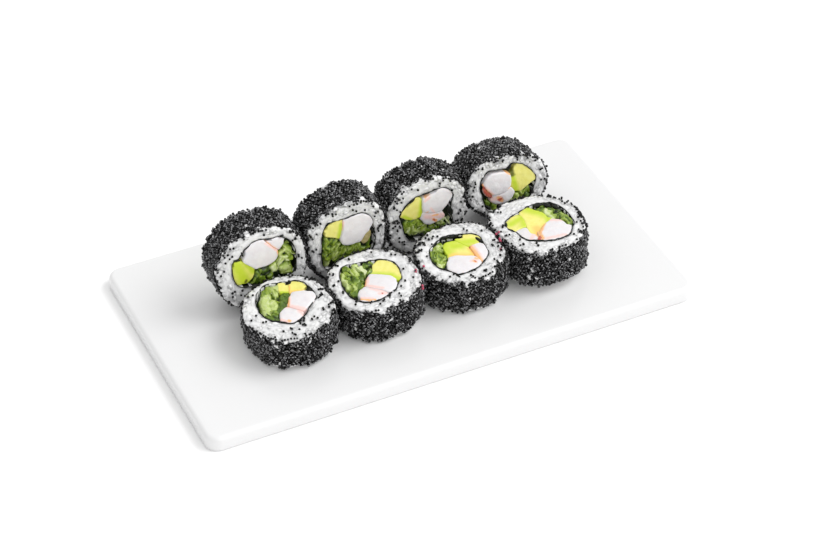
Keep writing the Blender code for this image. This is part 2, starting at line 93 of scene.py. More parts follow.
# Rice, in millimetres
GRAIN_HALF = Vector((2.3, 1.45, 1.15))
GRAIN_UNEVEN = 0.16
GRAINS_ON_FACE = 130
GRAINS_ON_RIM = 46
GRAINS_ON_WALL = 9
GRAIN_TRIES = 10
GRAIN_DEPTH = 1.1
RICE_BED = 0.05

# Seaweed, in millimetres
SEAWEED_WAVE = 0.3
SHEET = 0.25

# Fillings, in millimetres: how far they press outwards, and the gap left between them
PRESS_REACH = {"front_3": 2.5, "front_4": 3.2}
PRESS_REACH_ELSE = 1.4
PRESS_STEP = 0.1
PRESS_GAP = 0.03
DEEPEST = 0.4

OUTLINE_STEPS = 96


# ---------------------------------------------------------------- reading the frame

class Outline:
    """A closed curve round a middle, as radii in even steps, and its lower and upper end."""

    def __init__(self, middle, radii, low, high):
        self.middle = middle
        self.radii = np.asarray(radii, float)
        self.low = low
        self.high = high

    def radius(self, angle):
        steps = np.arange(len(self.radii)) * TURN / len(self.radii)
        return np.interp(np.mod(angle, TURN), steps, self.radii, period=TURN)

    def beyond(self, x, y):
        """How far a point is outside the curve, measured from its middle."""
        dx, dy = x - self.middle[0], y - self.middle[1]
        return float(math.hypot(dx, dy) - self.radius(math.atan2(dy, dx)))

    def grown(self, by):
        return Outline(self.middle, self.radii + by, self.low, self.high)

    def smoothed(self, passes):
        radii = self.radii
        for _ in range(passes):
            radii = 0.5 * radii + 0.25 * (np.roll(radii, 1) + np.roll(radii, -1))
        return Outline(self.middle, radii, self.low, self.high)


def hoop_axis(item):
    """The way a hoop's walls run: the direction that its faces point along least."""
    spread = np.zeros((3, 3))
    for face in item.data.polygons:
        spread += face.area * np.outer(face.normal, face.normal)
    axis = Vector(np.linalg.eigh(spread)[1][:, 0])
    return axis if axis.z > axis.y else -axis


class Slice:
    """One cut piece: its place, and the outlines of what it is made of."""

    def __init__(self, name, number):
        self.name = name
        self.number = number
        self.nodes = {key.split(".")[1]: item for key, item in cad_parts.items()
                      if key.startswith(name + ".")}
        axis = hoop_axis(self.nodes["seaweed"])
        across = Vector((1, 0, 0))
        across = (across - axis * across.dot(axis)).normalized()
        turned = Matrix((across, axis.cross(across), axis)).transposed()
        points = np.array([turned.inverted() @ vertex.co for vertex in self.nodes["roe"].data.vertices])
        middle = turned @ Vector(0.5 * (points.min(0) + points.max(0)))
        self.to_world = Matrix.Translation(middle) @ turned.to_4x4() @ Matrix.Scale(MM, 4)
        self.half = 0.5 * (points[:, 2].max() - points[:, 2].min()) / MM
        self.standing = axis.z < 0.5
        self.coat = self.outline("roe", wall="outside").smoothed(2)
        self.seaweed = self.outline("seaweed", wall="outside").smoothed(1)
        self.opening = self.outline("seaweed").smoothed(1)
        self.sheet = self.opening.grown(SHEET)
        self.fillings = {part: self.outline(part).smoothed(1) for part in self.nodes
                         if part.split("_")[0] in ("shrimp", "avocado", "sliver", "greens")}
        for filling in self.fillings.values():
            filling.high = max(filling.high, self.half - DEEPEST)

    def outline(self, part, wall="inside"):
        """The outline of one node half way along it, in this piece's own millimetres.

        A solid's outline is read from its middle outwards, and so is the inner wall of a
        hoop.  Its outer wall is read from far away inwards.
        """
        mesh = bmesh.new()
        mesh.from_mesh(self.nodes[part].data)
        mesh.transform(self.to_world.inverted())
        mesh.normal_update()
        points = np.array([vertex.co for vertex in mesh.verts])
        low, high = points[:, 2].min(), points[:, 2].max()
        level = 0.5 * (low + high)
        middle = Vector((*(0.5 * (points[:, :2].min(0) + points[:, :2].max(0))), level))
        if part not in ("roe", "seaweed"):
            end = [face for face in mesh.faces if face.normal.z < -0.9]
            area = sum(face.calc_area() for face in end)
            middle = sum((face.calc_area() * face.calc_center_median() for face in end), Vector()) / area
            middle.z = level
        tree = BVHTree.FromBMesh(mesh)
        mesh.free()
        radii = []
        for step in range(OUTLINE_STEPS):
            angle = TURN * step / OUTLINE_STEPS
            outward = Vector((math.cos(angle), math.sin(angle), 0))
            start = middle + 100.0 * outward if wall == "outside" else middle
            hit = tree.ray_cast(start, -outward if wall == "outside" else outward)[0]
            radii.append((hit - middle).length if hit else 0.0)
        return Outline((middle.x, middle.y), radii, low, high)

    def pressed(self, part):
        """A filling's outline once it is pressed out against its neighbours and the seaweed.

        Where nothing firm is near it keeps its own outline, so that the leaves have their room.
        """
        own = self.fillings[part]
        others = [outline for key, outline in self.fillings.items() if key not in (part, "greens")]
        radii = own.radii.copy()
        reach = PRESS_REACH.get(self.name, PRESS_REACH_ELSE)
        for at in range(OUTLINE_STEPS):
            angle = TURN * at / OUTLINE_STEPS
            for step in range(1, round(reach / PRESS_STEP)):
                out = PRESS_STEP * step
                x = own.middle[0] + (own.radii[at] + out) * math.cos(angle)
                y = own.middle[1] + (own.radii[at] + out) * math.sin(angle)
                met = any(other.beyond(x, y) < out + PRESS_GAP for other in others)
                if met or self.opening.beyond(x, y) > -PRESS_GAP:
                    radii[at] = own.radii[at] + out
                    break
        return Outline(own.middle, radii, own.low, own.high).smoothed(3)


# ---------------------------------------------------------------- materials

def add_group(name, inputs, outputs):
    """A shader node group with named sockets, and its two end nodes."""
    group = bpy.data.node_groups.new(name, "ShaderNodeTree")
    for label, kind, value in inputs:
        socket = group.interface.new_socket(label, in_out="INPUT", socket_type=kind)
        if value is not None:
            socket.default_value = value
    for label, kind in outputs:
        group.interface.new_socket(label, in_out="OUTPUT", socket_type=kind)
    return group, group.nodes.new("NodeGroupInput"), group.nodes.new("NodeGroupOutput")


def add_node(tree, kind, **values):
    node = tree.nodes.new(kind)
    for label, value in values.items():
        setattr(node, label, value)
    return node


def fill(node, **values):
    """Sets a node's sockets by name; underscores in a name stand for spaces."""
    for label, value in values.items():
        node.inputs[label.replace("_", " ")].default_value = value
    return node


def make_blotches():
    """Soft blotches from 0 to 1 over a piece, of a given size in millimetres."""
    group, start, end = add_group(
        "blotches",
        (("Size", "NodeSocketFloat", 2.0), ("Contrast", "NodeSocketFloat", 2.0), ("Detail", "NodeSocketFloat", 2.0)),
        (("Mask", "NodeSocketFloat"),),
    )
    place = add_node(group, "ShaderNodeTexCoord")
    per_mm = add_node(group, "ShaderNodeMath", operation="DIVIDE")
    per_mm.inputs[0].default_value = 1.0 / MM
    cloud = add_node(group, "ShaderNodeTexNoise")
    centred = add_node(group, "ShaderNodeMath", operation="SUBTRACT")
    centred.inputs[1].default_value = 0.5
    sharper = add_node(group, "ShaderNodeMath", operation="MULTIPLY_ADD", use_clamp=True)
    sharper.inputs[2].default_value = 0.5
    group.links.new(start.outputs["Size"], per_mm.inputs[1])
    group.links.new(per_mm.outputs[0], cloud.inputs["Scale"])
    group.links.new(start.outputs["Detail"], cloud.inputs["Detail"])
    group.links.new(place.outputs["Object"], cloud.inputs["Vector"])
    group.links.new(cloud.outputs[0], centred.inputs[0])
    group.links.new(centred.outputs[0], sharper.inputs[0])
    group.links.new(start.outputs["Contrast"], sharper.inputs[1])
    group.links.new(sharper.outputs[0], end.inputs["Mask"])
    return group


def make_fine_relief(blotches):
    """A bumpy skin: relief of a given size and depth, both in millimetres."""
    group, start, end = add_group(
        "fine relief",
        (("Size", "NodeSocketFloat", 0.5), ("Depth", "NodeSocketFloat", 0.1)),
        (("Normal", "NodeSocketVector"),),
    )
    relief = add_node(group, "ShaderNodeGroup", node_tree=blotches)
    fill(relief, Contrast=1.4, Detail=4.0)
    depth = add_node(group, "ShaderNodeMath", operation="MULTIPLY")
    depth.inputs[1].default_value = MM
    bump = add_node(group, "ShaderNodeBump")
    group.links.new(start.outputs["Size"], relief.inputs["Size"])
    group.links.new(start.outputs["Depth"], depth.inputs[0])
    group.links.new(depth.outputs[0], bump.inputs["Distance"])
    group.links.new(relief.outputs["Mask"], bump.inputs["Height"])
    group.links.new(bump.outputs[0], end.inputs["Normal"])
    return group


BLOTCHES = make_blotches()
FINE_RELIEF = make_fine_relief(BLOTCHES)


class Finish:
    """A material under construction: a Principled shader and what feeds it."""

    def __init__(self, name, **constants):
        self.material = bpy.data.materials.new(name)
        self.material.use_nodes = True
        self.tree = self.material.node_tree
        self.shader = self.tree.nodes["Principled BSDF"]
        fill(self.shader, **constants)

    def link(self, source, target):
        self.tree.links.new(source, target)

    def blotches(self, size, contrast=2.0, detail=2.0):
        node = add_node(self.tree, "ShaderNodeGroup", node_tree=BLOTCHES)
        fill(node, Size=size, Contrast=contrast, Detail=detail)
        return node.outputs["Mask"]

    def attribute(self, name):
        return add_node(self.tree, "ShaderNodeAttribute", attribute_name=name).outputs["Fac"]

    def math(self, operation, first, second, third=None, clamp=False):
        node = add_node(self.tree, "ShaderNodeMath", operation=operation, use_clamp=clamp)
        for socket, value in zip(node.inputs, (first, second, third)):
            if isinstance(value, (int, float)):
                socket.default_value = value
            elif value is not None:
                self.link(value, socket)
        return node.outputs[0]

    def ramp(self, value, low, high):
        """0 below low and 1 above high, softly between."""
        node = add_node(self.tree, "ShaderNodeMapRange", interpolation_type="SMOOTHSTEP")
        fill(node, From_Min=low, From_Max=high)
        self.link(value, node.inputs["Value"])
        return node.outputs["Result"]

    def patches(self, name, size, edge=0.30, low=0.32):
        """A painted layer as a mask with an uneven edge."""
        uneven_edge = self.math("MULTIPLY_ADD", self.blotches(size, 2.5), edge, self.attribute(name))
        return self.ramp(uneven_edge, low, 0.95)

    def mix(self, mask, first, second):
        """A colour between two, each a colour or a socket."""
        node = add_node(self.tree, "ShaderNodeMix", data_type="RGBA")
        self.link(mask, node.inputs["Factor"])
        for socket, value in ((node.inputs[6], first), (node.inputs[7], second)):
            if isinstance(value, tuple):
                socket.default_value = (*value, 1.0)
            else:
                self.link(value, socket)
        return node.outputs[2]

    def colour(self, source):
        self.link(source, self.shader.inputs["Base Color"])

    def roughness(self, mask, low, high):
        node = add_node(self.tree, "ShaderNodeMapRange")
        fill(node, To_Min=low, To_Max=high)
        self.link(mask, node.inputs["Value"])
        self.link(node.outputs["Result"], self.shader.inputs["Roughness"])

    def relief(self, size, depth):
        node = add_node(self.tree, "ShaderNodeGroup", node_tree=FINE_RELIEF)
        fill(node, Size=size, Depth=depth)
        self.link(node.outputs["Normal"], self.shader.inputs["Normal"])


def make_porcelain():
    finish = Finish("porcelain glaze", Coat_Weight=0.2, Coat_Roughness=0.1)
    clouds = finish.blotches(80.0, 1.2)
    finish.colour(finish.mix(clouds, (0.745, 0.745, 0.748), (0.765, 0.765, 0.765)))
    finish.roughness(finish.blotches(20.0), 0.28, 0.32)
    finish.relief(30.0, 0.02)
    return finish.material


def make_roe():
    """Glossy black beads, most of them with a painted highlight: a pale ring round a dark middle."""
    finish = Finish("black roe", Coat_Weight=0.25, Coat_Roughness=0.1, Specular_IOR_Level=0.12)
    # Painted highlight: each bead's tone sets how bright its pale ring is, and cap, 1 where the bead's +Z points
    # outwards, puts the ring round a dark middle.
    glint = finish.mix(finish.ramp(finish.attribute("tone"), 0.1, 1.0), (0.008, 0.008, 0.008), (0.38, 0.38, 0.39))
    cap = finish.attribute("cap")
    ring = finish.mix(finish.ramp(cap, 0.30, 0.62), (0.001, 0.001, 0.001), glint)
    finish.colour(finish.mix(finish.ramp(cap, 0.68, 0.92), ring, (0.001, 0.001, 0.001)))
    finish.roughness(finish.blotches(0.5), 0.12, 0.24)
    return finish.material


def make_red_roe():
    finish = Finish("red roe", Coat_Weight=0.6, Coat_Roughness=0.18)
    finish.colour(finish.mix(finish.blotches(0.8), (0.22, 0.004, 0.03), (0.62, 0.06, 0.14)))
    finish.roughness(finish.blotches(0.5), 0.22, 0.4)
    return finish.material


def make_roe_bed():
    """The dark bed under the beads."""
    finish = Finish("roe bed", Specular_IOR_Level=0.1)
    finish.colour(finish.mix(finish.blotches(1.2, 3.0), (0.001, 0.001, 0.001), (0.003, 0.003, 0.003)))
    finish.roughness(finish.blotches(0.6), 0.6, 0.8)
    finish.relief(1.1, 0.5)
    return finish.material


def make_rice():
    """Cooked rice: white, a little glassy, greyer in patches."""
    finish = Finish("rice", Subsurface_Weight=0.8, Subsurface_Scale=0.0014, Coat_Weight=0.15, Coat_Roughness=0.35,
                    Subsurface_Radius=(1.0, 1.0, 1.0))
    tone = finish.attribute("tone")
    plain = finish.mix(finish.ramp(tone, 0.0, 1.0), (0.76, 0.76, 0.76), (0.83, 0.83, 0.83))
    finish.colour(finish.mix(finish.ramp(finish.blotches(2.2, 3.0), 0.66, 1.0), plain, (0.72, 0.72, 0.725)))
    finish.roughness(finish.blotches(0.8), 0.36, 0.6)
    finish.relief(1.2, 0.06)
    return finish.material


def make_seaweed():
    finish = Finish("seaweed", Specular_IOR_Level=0.3)
    finish.colour(finish.mix(finish.blotches(1.6, 3.0), (0.002, 0.003, 0.002), (0.010, 0.012, 0.007)))
    finish.roughness(finish.blotches(0.7), 0.4, 0.65)
    finish.relief(0.6, 0.16)
    return finish.material


def make_shrimp():
    """White flesh with patches of pink, orange skin and a few red spots."""
    finish = Finish("shrimp", Subsurface_Weight=0.3, Subsurface_Scale=0.0008, Coat_Weight=0.2, Coat_Roughness=0.3,
                    Subsurface_Radius=(1.0, 0.8, 0.7))
    flesh = finish.mix(finish.blotches(3.0, 2.2), (0.74, 0.705, 0.72), (0.79, 0.775, 0.785))
    pink = finish.mix(finish.patches("pink", 2.6), flesh, (0.88, 0.62, 0.58))
    orange = finish.mix(finish.patches("orange", 1.8), pink, (0.90, 0.48, 0.20))
    finish.colour(finish.mix(finish.patches("red", 1.2), orange, (0.52, 0.11, 0.07)))
    finish.roughness(finish.blotches(1.2), 0.3, 0.5)
    finish.relief(1.0, 0.08)
    return finish.material


def make_avocado():
    """Butter yellow, green towards the skin, amber where it is bruised, olive at its very edge."""
    finish = Finish("avocado", Subsurface_Weight=0.2, Subsurface_Scale=0.0008, Coat_Weight=0.2, Coat_Roughness=0.35,
                    Subsurface_Radius=(1.0, 1.0, 0.6))
    yellow = finish.mix(finish.blotches(2.4, 2.0), (0.81, 0.75, 0.17), (0.86, 0.82, 0.26))
    lime = finish.mix(finish.patches("green", 3.0, 0.12, 0.02), yellow, (0.56, 0.69, 0.035))
    amber = finish.mix(finish.patches("amber", 2.4, 0.12, 0.05), lime, (0.95, 0.60, 0.15))
    finish.colour(finish.mix(finish.patches("olive", 1.4), amber, (0.13, 0.14, 0.008)))
    finish.roughness(finish.blotches(1.0), 0.35, 0.55)
    finish.relief(1.4, 0.08)
    return finish.material


def make_leaf():
    """Salad leaf, from dark green through bright green to the pale rib; its tone brings painted light and shade from
    the creases and the gaps between folds.
    """
    finish = Finish("salad leaf", Subsurface_Weight=0.2, Subsurface_Scale=0.0008, Coat_Weight=0.3, Coat_Roughness=0.2,
                    Subsurface_Radius=(1.0, 1.0, 0.6))
    tone = finish.math("MULTIPLY_ADD", finish.blotches(2.2, 2.2), 0.30, finish.attribute("tone"))
    low = finish.mix(finish.ramp(tone, 0.15, 0.50), (0.010, 0.022, 0.002), (0.085, 0.16, 0.006))
    mid = finish.mix(finish.ramp(tone, 0.50, 0.85), low, (0.27, 0.38, 0.035))
    pale = finish.mix(finish.ramp(tone, 0.85, 1.15), mid, (0.50, 0.60, 0.20))
    finish.colour(finish.mix(finish.ramp(tone, 1.15, 1.45), pale, (0.68, 0.75, 0.44)))
    finish.roughness(finish.blotches(1.0), 0.22, 0.45)
    finish.relief(1.1, 0.12)
    return finish.material


def make_sliver():
    finish = Finish("tan slice", Coat_Weight=0.3, Coat_Roughness=0.25)
    finish.colour(finish.mix(finish.blotches(2.2, 2.5), (0.36, 0.29, 0.10), (0.56, 0.48, 0.23)))
    finish.roughness(finish.blotches(1.0), 0.3, 0.5)
    finish.relief(0.8, 0.12)
    return finish.material


def make_floor_finish():
    finish = Finish("pale floor", Roughness=0.9)
    finish.colour(finish.mix(finish.blotches(300.0), (0.94, 0.94, 0.94), (0.96, 0.96, 0.96)))
    return finish.material


FINISHES = {
    "porcelain": make_porcelain(),
    "roe": make_roe(),
    "red roe": make_red_roe(),
    "roe bed": make_roe_bed(),
    "rice": make_rice(),
    "seaweed": make_seaweed(),
    "shrimp": make_shrimp(),
    "avocado": make_avocado(),
    "greens": make_leaf(),
    "sliver": make_sliver(),
    "floor": make_floor_finish(),
}


# ---------------------------------------------------------------- making pieces

def add_piece(name, data, finish, slot, replaced=()):
    """Puts a finished mesh in the scene as a piece of the object."""
    data.shade_smooth()
    data.materials.append(FINISHES[finish])
    piece = bpy.data.objects.new(name, data)
    bpy.context.scene.collection.objects.link(piece)
    if replaced:
        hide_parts(*replaced)
    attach(piece, "root")
    return piece


def mesh_from(mesh, name, place=None):
    """Ends a bmesh: faces out, carried to its place, and made a mesh."""
    bmesh.ops.recalc_face_normals(mesh, faces=mesh.faces[:])
    if place is not None:
        mesh.transform(place)
    data = bpy.data.meshes.new(name)
    mesh.to_mesh(data)
    mesh.free()
    return data


def join_into(whole, part):
    """Adds one bmesh to another and frees it."""
    data = bpy.data.meshes.new("part")
    part.to_mesh(data)
    part.free()
    whole.from_mesh(data)
    bpy.data.meshes.remove(data)


def uneven(x, y, z, size, seed):
    """Smooth noise from -1 to 1 at a point, with features of a size in millimetres."""
    return noise.noise(Vector((x / size + 17.3 * seed, y / size - 9.1 * seed, z / size + 5.7 * seed)))


def creased(x, y, z, size, seed):
    """Noise from -1 to 1 with sharp ridges, as in crumpled leaf."""
    return 1.0 - 2.4 * abs(uneven(x, y, z, size, seed)) - 0.8 * abs(uneven(x, y, z, 0.45 * size, seed + 3.0))


def add_share(mesh, name, values):
    layer = mesh.verts.layers.float.new(name)
    for vertex in mesh.verts:
        vertex[layer] = values(vertex)


def spun_hoop(section, steps):
    """A ring of unit size: points of its section, as share across and height, spun once."""
    mesh = bmesh.new()
    verts = [mesh.verts.new((1.0 + across, 0.0, height)) for across, height in section]
    edges = [mesh.edges.new((verts[at - 1], verts[at])) for at in range(len(verts))]
    bmesh.ops.spin(mesh, geom=verts + edges, cent=(0, 0, 0), axis=(0, 0, 1), angle=TURN,
                   steps=steps, use_merge=True, use_duplicate=False)
    return mesh


def shape_hoop(mesh, inner, outer, height_at, seed, wave=0.0, wave_size=3.0):
    """Fits a spun hoop between two outlines; height_at gives each point's height."""
    for vertex in mesh.verts:
        angle = math.atan2(vertex.co.y, vertex.co.x)
        across = math.hypot(vertex.co.x, vertex.co.y) - 1.0
        ways = Vector((math.cos(angle), math.sin(angle), 0))
        near = Vector((*inner.middle, 0)) + ways * float(inner.radius(angle))
        far = Vector((*outer.middle, 0)) + ways * float(outer.radius(angle))
        point = near.lerp(far, across)
        point += ways * wave * uneven(point.x, point.y, vertex.co.z * 0.5, wave_size, seed)
        point.z = height_at(point, across, vertex.co.z)
        vertex.co = point


def unit_plug(steps, rings, levels):
    """A closed cylinder of radius 1 from height 0 to 1, with rings of faces on both ends."""
    mesh = bmesh.new()
    bmesh.ops.create_circle(mesh, cap_ends=True, radius=1.0, segments=steps)
    mesh.faces.ensure_lookup_table()
    top = mesh.faces[0]
    for level in range(levels):
        made = bmesh.ops.extrude_face_region(mesh, geom=[top], use_keep_orig=level == 0)
        lifted = [item for item in made["geom"] if isinstance(item, bmesh.types.BMVert)]
        bmesh.ops.translate(mesh, verts=lifted, vec=(0, 0, 1.0 / levels))
        top = next(item for item in made["geom"] if isinstance(item, bmesh.types.BMFace))
    bmesh.ops.recalc_face_normals(mesh, faces=mesh.faces[:])
    ends = [face for face in mesh.faces if len(face.verts) == steps]
    for end in ends:
        for _ in range(rings):
            bmesh.ops.inset_region(mesh, faces=[end], thickness=1.0 / (rings + 1), use_even_offset=True)
        bmesh.ops.poke(mesh, faces=[end])
    return mesh


def shape_plug(mesh, outline, rings, edge, relief):
    """Fits a unit plug to an outline, with its two ends rounded over.

    relief gives how far each end rises at a point, by its x and y and which end it is.
    """
    last = rings + 1
    for vertex in mesh.verts:
        x, y, level = vertex.co
        angle = math.atan2(y, x)
        reach = float(outline.radius(angle))
        ring = min(round(math.hypot(x, y) * last), last)
        end = 2.0 * level - 1.0
        draw = 0.0
        if ring == last - 1:
            draw = 0.293 * edge
        elif ring < last - 1:
            draw = edge + (reach - edge) * (last - 2 - ring) / (last - 2)
        px = outline.middle[0] + (reach - draw) * math.cos(angle)
        py = outline.middle[1] + (reach - draw) * math.sin(angle)
        if abs(end) > 0.99:
            drop = max(0.0, edge - draw) ** 2 / edge
            rise = relief(px, py, end) - drop
            pz = (outline.high + rise) if end > 0 else (outline.low - rise)
        else:
            near = edge + 0.6
            pz = outline.low + near + (outline.high - outline.low - 2.0 * near) * level
        vertex.co = (px, py, pz)


def from_stroke(x, y, stroke):
    """Distance from a point to the straight stroke between two points."""
    x0, y0, x1, y1 = stroke
    dx, dy = x1 - x0, y1 - y0
    share = ((x - x0) * dx + (y - y0) * dy) / max(dx * dx + dy * dy, 1e-9)
    share = min(max(share, 0.0), 1.0)
    return math.hypot(x - x0 - share * dx, y - y0 - share * dy)


def paint(mesh, names, strokes):
    """Stores soft strokes of paint on a mesh: 1 along a stroke, falling to 0 at its width."""
    for name in names:
        own = [stroke[1:] for stroke in strokes if stroke[0] == name]

        def share(vertex):
            return max([1.0 - from_stroke(vertex.co.x, vertex.co.y, stroke[:4]) / stroke[4] for stroke in own] + [0.0])

        add_share(mesh, name, share)


# ---------------------------------------------------------------- many small things

def template(mesh):
    """A small shape's points and faces as arrays, for tiling."""
    points = np.array([vertex.co for vertex in mesh.verts])
    mesh.verts.index_update()
    faces = [[vertex.index for vertex in face.verts] for face in mesh.faces]
    mesh.free()
    return points, faces


def make_bead():
    mesh = bmesh.new()
    bmesh.ops.create_uvsphere(mesh, u_segments=6, v_segments=4, radius=1.0)
    return template(mesh)


def make_grain():
    """A cooked grain: long, blunt, a little bent and fuller at one end."""
    mesh = bmesh.new()
    bmesh.ops.create_uvsphere(mesh, u_segments=8, v_segments=6, radius=1.0)
    bmesh.ops.rotate(mesh, verts=mesh.verts[:], matrix=Matrix.Rotation(math.pi / 2, 3, "Y"))
    for vertex in mesh.verts:
        along = vertex.co.x
        fuller = 1.0 + 0.12 * along
        blunt = math.copysign(abs(along) ** 0.8, along)
        vertex.co = Vector((blunt * GRAIN_HALF.x, vertex.co.y * fuller * GRAIN_HALF.y,
                            vertex.co.z * fuller * GRAIN_HALF.z))
        vertex.co.y += 0.10 * along * along * GRAIN_HALF.x
    return template(mesh)


def tiled(name, shape, places, turns, sizes, tones, place):
    """One mesh of many copies of a shape, with a tone on each, and cap rising to 1 where its +Z is, which places the
    beads' painted highlight.
    """
    points, faces = shape
    count, each = len(places), len(points)
    coords = np.einsum("nij,kj->nki", turns, points) * sizes[:, None, None] + places[:, None, :]
    coords = coords.reshape(-1, 3)
    matrix = np.array(place)
    coords = coords @ matrix[:3, :3].T + matrix[:3, 3]
    corners = np.concatenate([np.array(face) for face in faces])
    lengths = np.array([len(face) for face in faces])
    all_corners = (corners[None, :] + each * np.arange(count)[:, None]).ravel()
    starts = np.concatenate([[0], np.cumsum(np.tile(lengths, count))[:-1]])
    data = bpy.data.meshes.new(name)
    data.vertices.add(len(coords))
    data.vertices.foreach_set("co", coords.ravel())
    data.loops.add(len(all_corners))
    data.loops.foreach_set("vertex_index", all_corners.astype(np.int32))
    data.polygons.add(count * len(faces))
    data.polygons.foreach_set("loop_start", starts.astype(np.int32))
    data.update(calc_edges=True)
    tone = data.attributes.new("tone", "FLOAT", "POINT")
    tone.data.foreach_set("value", np.repeat(tones, each).astype(np.float32))
    cap = data.attributes.new("cap", "FLOAT", "POINT")
    cap.data.foreach_set("value", np.tile(np.clip(points[:, 2], 0.0, 1.0), count).astype(np.float32))
    return data


def facing_turns(rng, ways, wobble):
    """Turns that point a shape's +Z along given ways, give or take a wobble."""
    up = ways + rng.normal(0.0, wobble, ways.shape)
    up /= np.linalg.norm(up, axis=1)[:, None]
    side = np.cross(rng.normal(size=ways.shape), up)
    side /= np.linalg.norm(side, axis=1)[:, None]
    return np.stack([side, np.cross(up, side), up], 2)


def laid_turns(rng, headings, tip, roll):
    """Turns for long shapes that lie along a heading, tipped and rolled a little."""
    turns = []
    for heading in headings:
        turn = Matrix.Rotation(heading, 3, "Z")
        turn = turn @ Matrix.Rotation(rng.normal(0.0, tip), 3, "Y") @ Matrix.Rotation(rng.normal(0.0, roll), 3, "X")
        turns.append(np.array(turn))
    return np.array(turns)


def wall_points(outline, half, pitch, jitter, rng):
    """Angles and heights in uneven rows all over a piece's wall."""
    steps = np.linspace(0.0, TURN, 721)
    radii = outline.radius(steps)
    length = np.concatenate([[0.0], np.cumsum(0.5 * (radii[1:] + radii[:-1]) * np.diff(steps))])
    rows = int(round(2.0 * half / (0.866 * pitch)))
    in_row = int(round(length[-1] / pitch))
    angles, heights = [], []
    for row in range(rows + 1):
        along = (np.arange(in_row) + 0.5 * (row % 2)) * length[-1] / in_row
        along = np.mod(along + rng.uniform(-jitter, jitter, in_row) * pitch, length[-1])
        angles.append(np.interp(along, length, steps))
        heights.append(-half + 2.0 * half * row / rows + rng.uniform(-jitter, jitter, in_row) * pitch)
    return np.concatenate(angles), np.concatenate(heights)


def on_outline(outline, angles, radii):
    x = outline.middle[0] + radii * np.cos(angles)
    y = outline.middle[1] + radii * np.sin(angles)
    return x, y


BEAD = make_bead()
GRAIN = make_grain()


def in_room(piece, places, reach):
    """Which small things clear the plate's top and stay under the top of the frame's box."""
    matrix = np.array(piece.to_world)
    heights = (places @ matrix[:3, :3].T + matrix[:3, 3])[:, 2]
    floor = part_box("plate")[1].z + 0.75 * reach * MM
    return (heights > floor) & (heights < CAD_BOUNDS[1][2] + (BEAD_REACH - reach) * MM)


# Stretches of the marked face's rim that are bare of roe: middle and half width as angles
BARE_RIMS = {"front_1": (3.0, 0.45)}


def bare(piece, angles, face):
    """How bare of roe the rim is left at given angles: 0 for not at all, 1 for most."""
    if face < 0 or piece.name not in BARE_RIMS:
        return np.zeros(len(angles))
    middle, width = BARE_RIMS[piece.name]
    away = np.abs((angles - middle + math.pi) % TURN - math.pi)
    return np.clip(3.0 * (1.0 - away / width), 0.0, 1.0)


def hang(piece, angles, face):
    """How far the rice hangs over the rim at given angles: 0 for not at all, 1 for most."""
    x, y = on_outline(piece.coat, angles, piece.coat.radius(angles))
    folds = np.array([uneven(px, py, 40.0 * face, 4.5, 80 + piece.number) for px, py in zip(x, y)])
    return np.clip(2.4 * (folds - 0.02) + bare(piece, angles, face), 0.0, 1.0)


def rim_limit(piece, angles, face):
    """How far along the wall the roe reaches towards one face."""
    return piece.half - 0.25 - RIM_DROP * hang(piece, angles, face)


def choose_wall_grains(piece, rng):
    """Places on the wall where a grain of rice shows through the roe."""
    spots = []
    for _ in range(WALL_GRAINS.get(piece.name, GRAINS_ON_WALL)):
        angle = rng.uniform(0.0, TURN)
        height = rng.uniform(-0.75, 0.75) * piece.half
        heading = rng.uniform(0.0, math.pi)
        spots.append((angle, height, heading, rng.uniform(0.35, 0.8)))
    return spots


# Pieces whose roe is thin, so that more grains than usual show through it
WALL_GRAINS = {"front_1": 18, "front_4": 34, "back_1": 16, "back_2": 14, "back_3": 20, "back_4": 12}


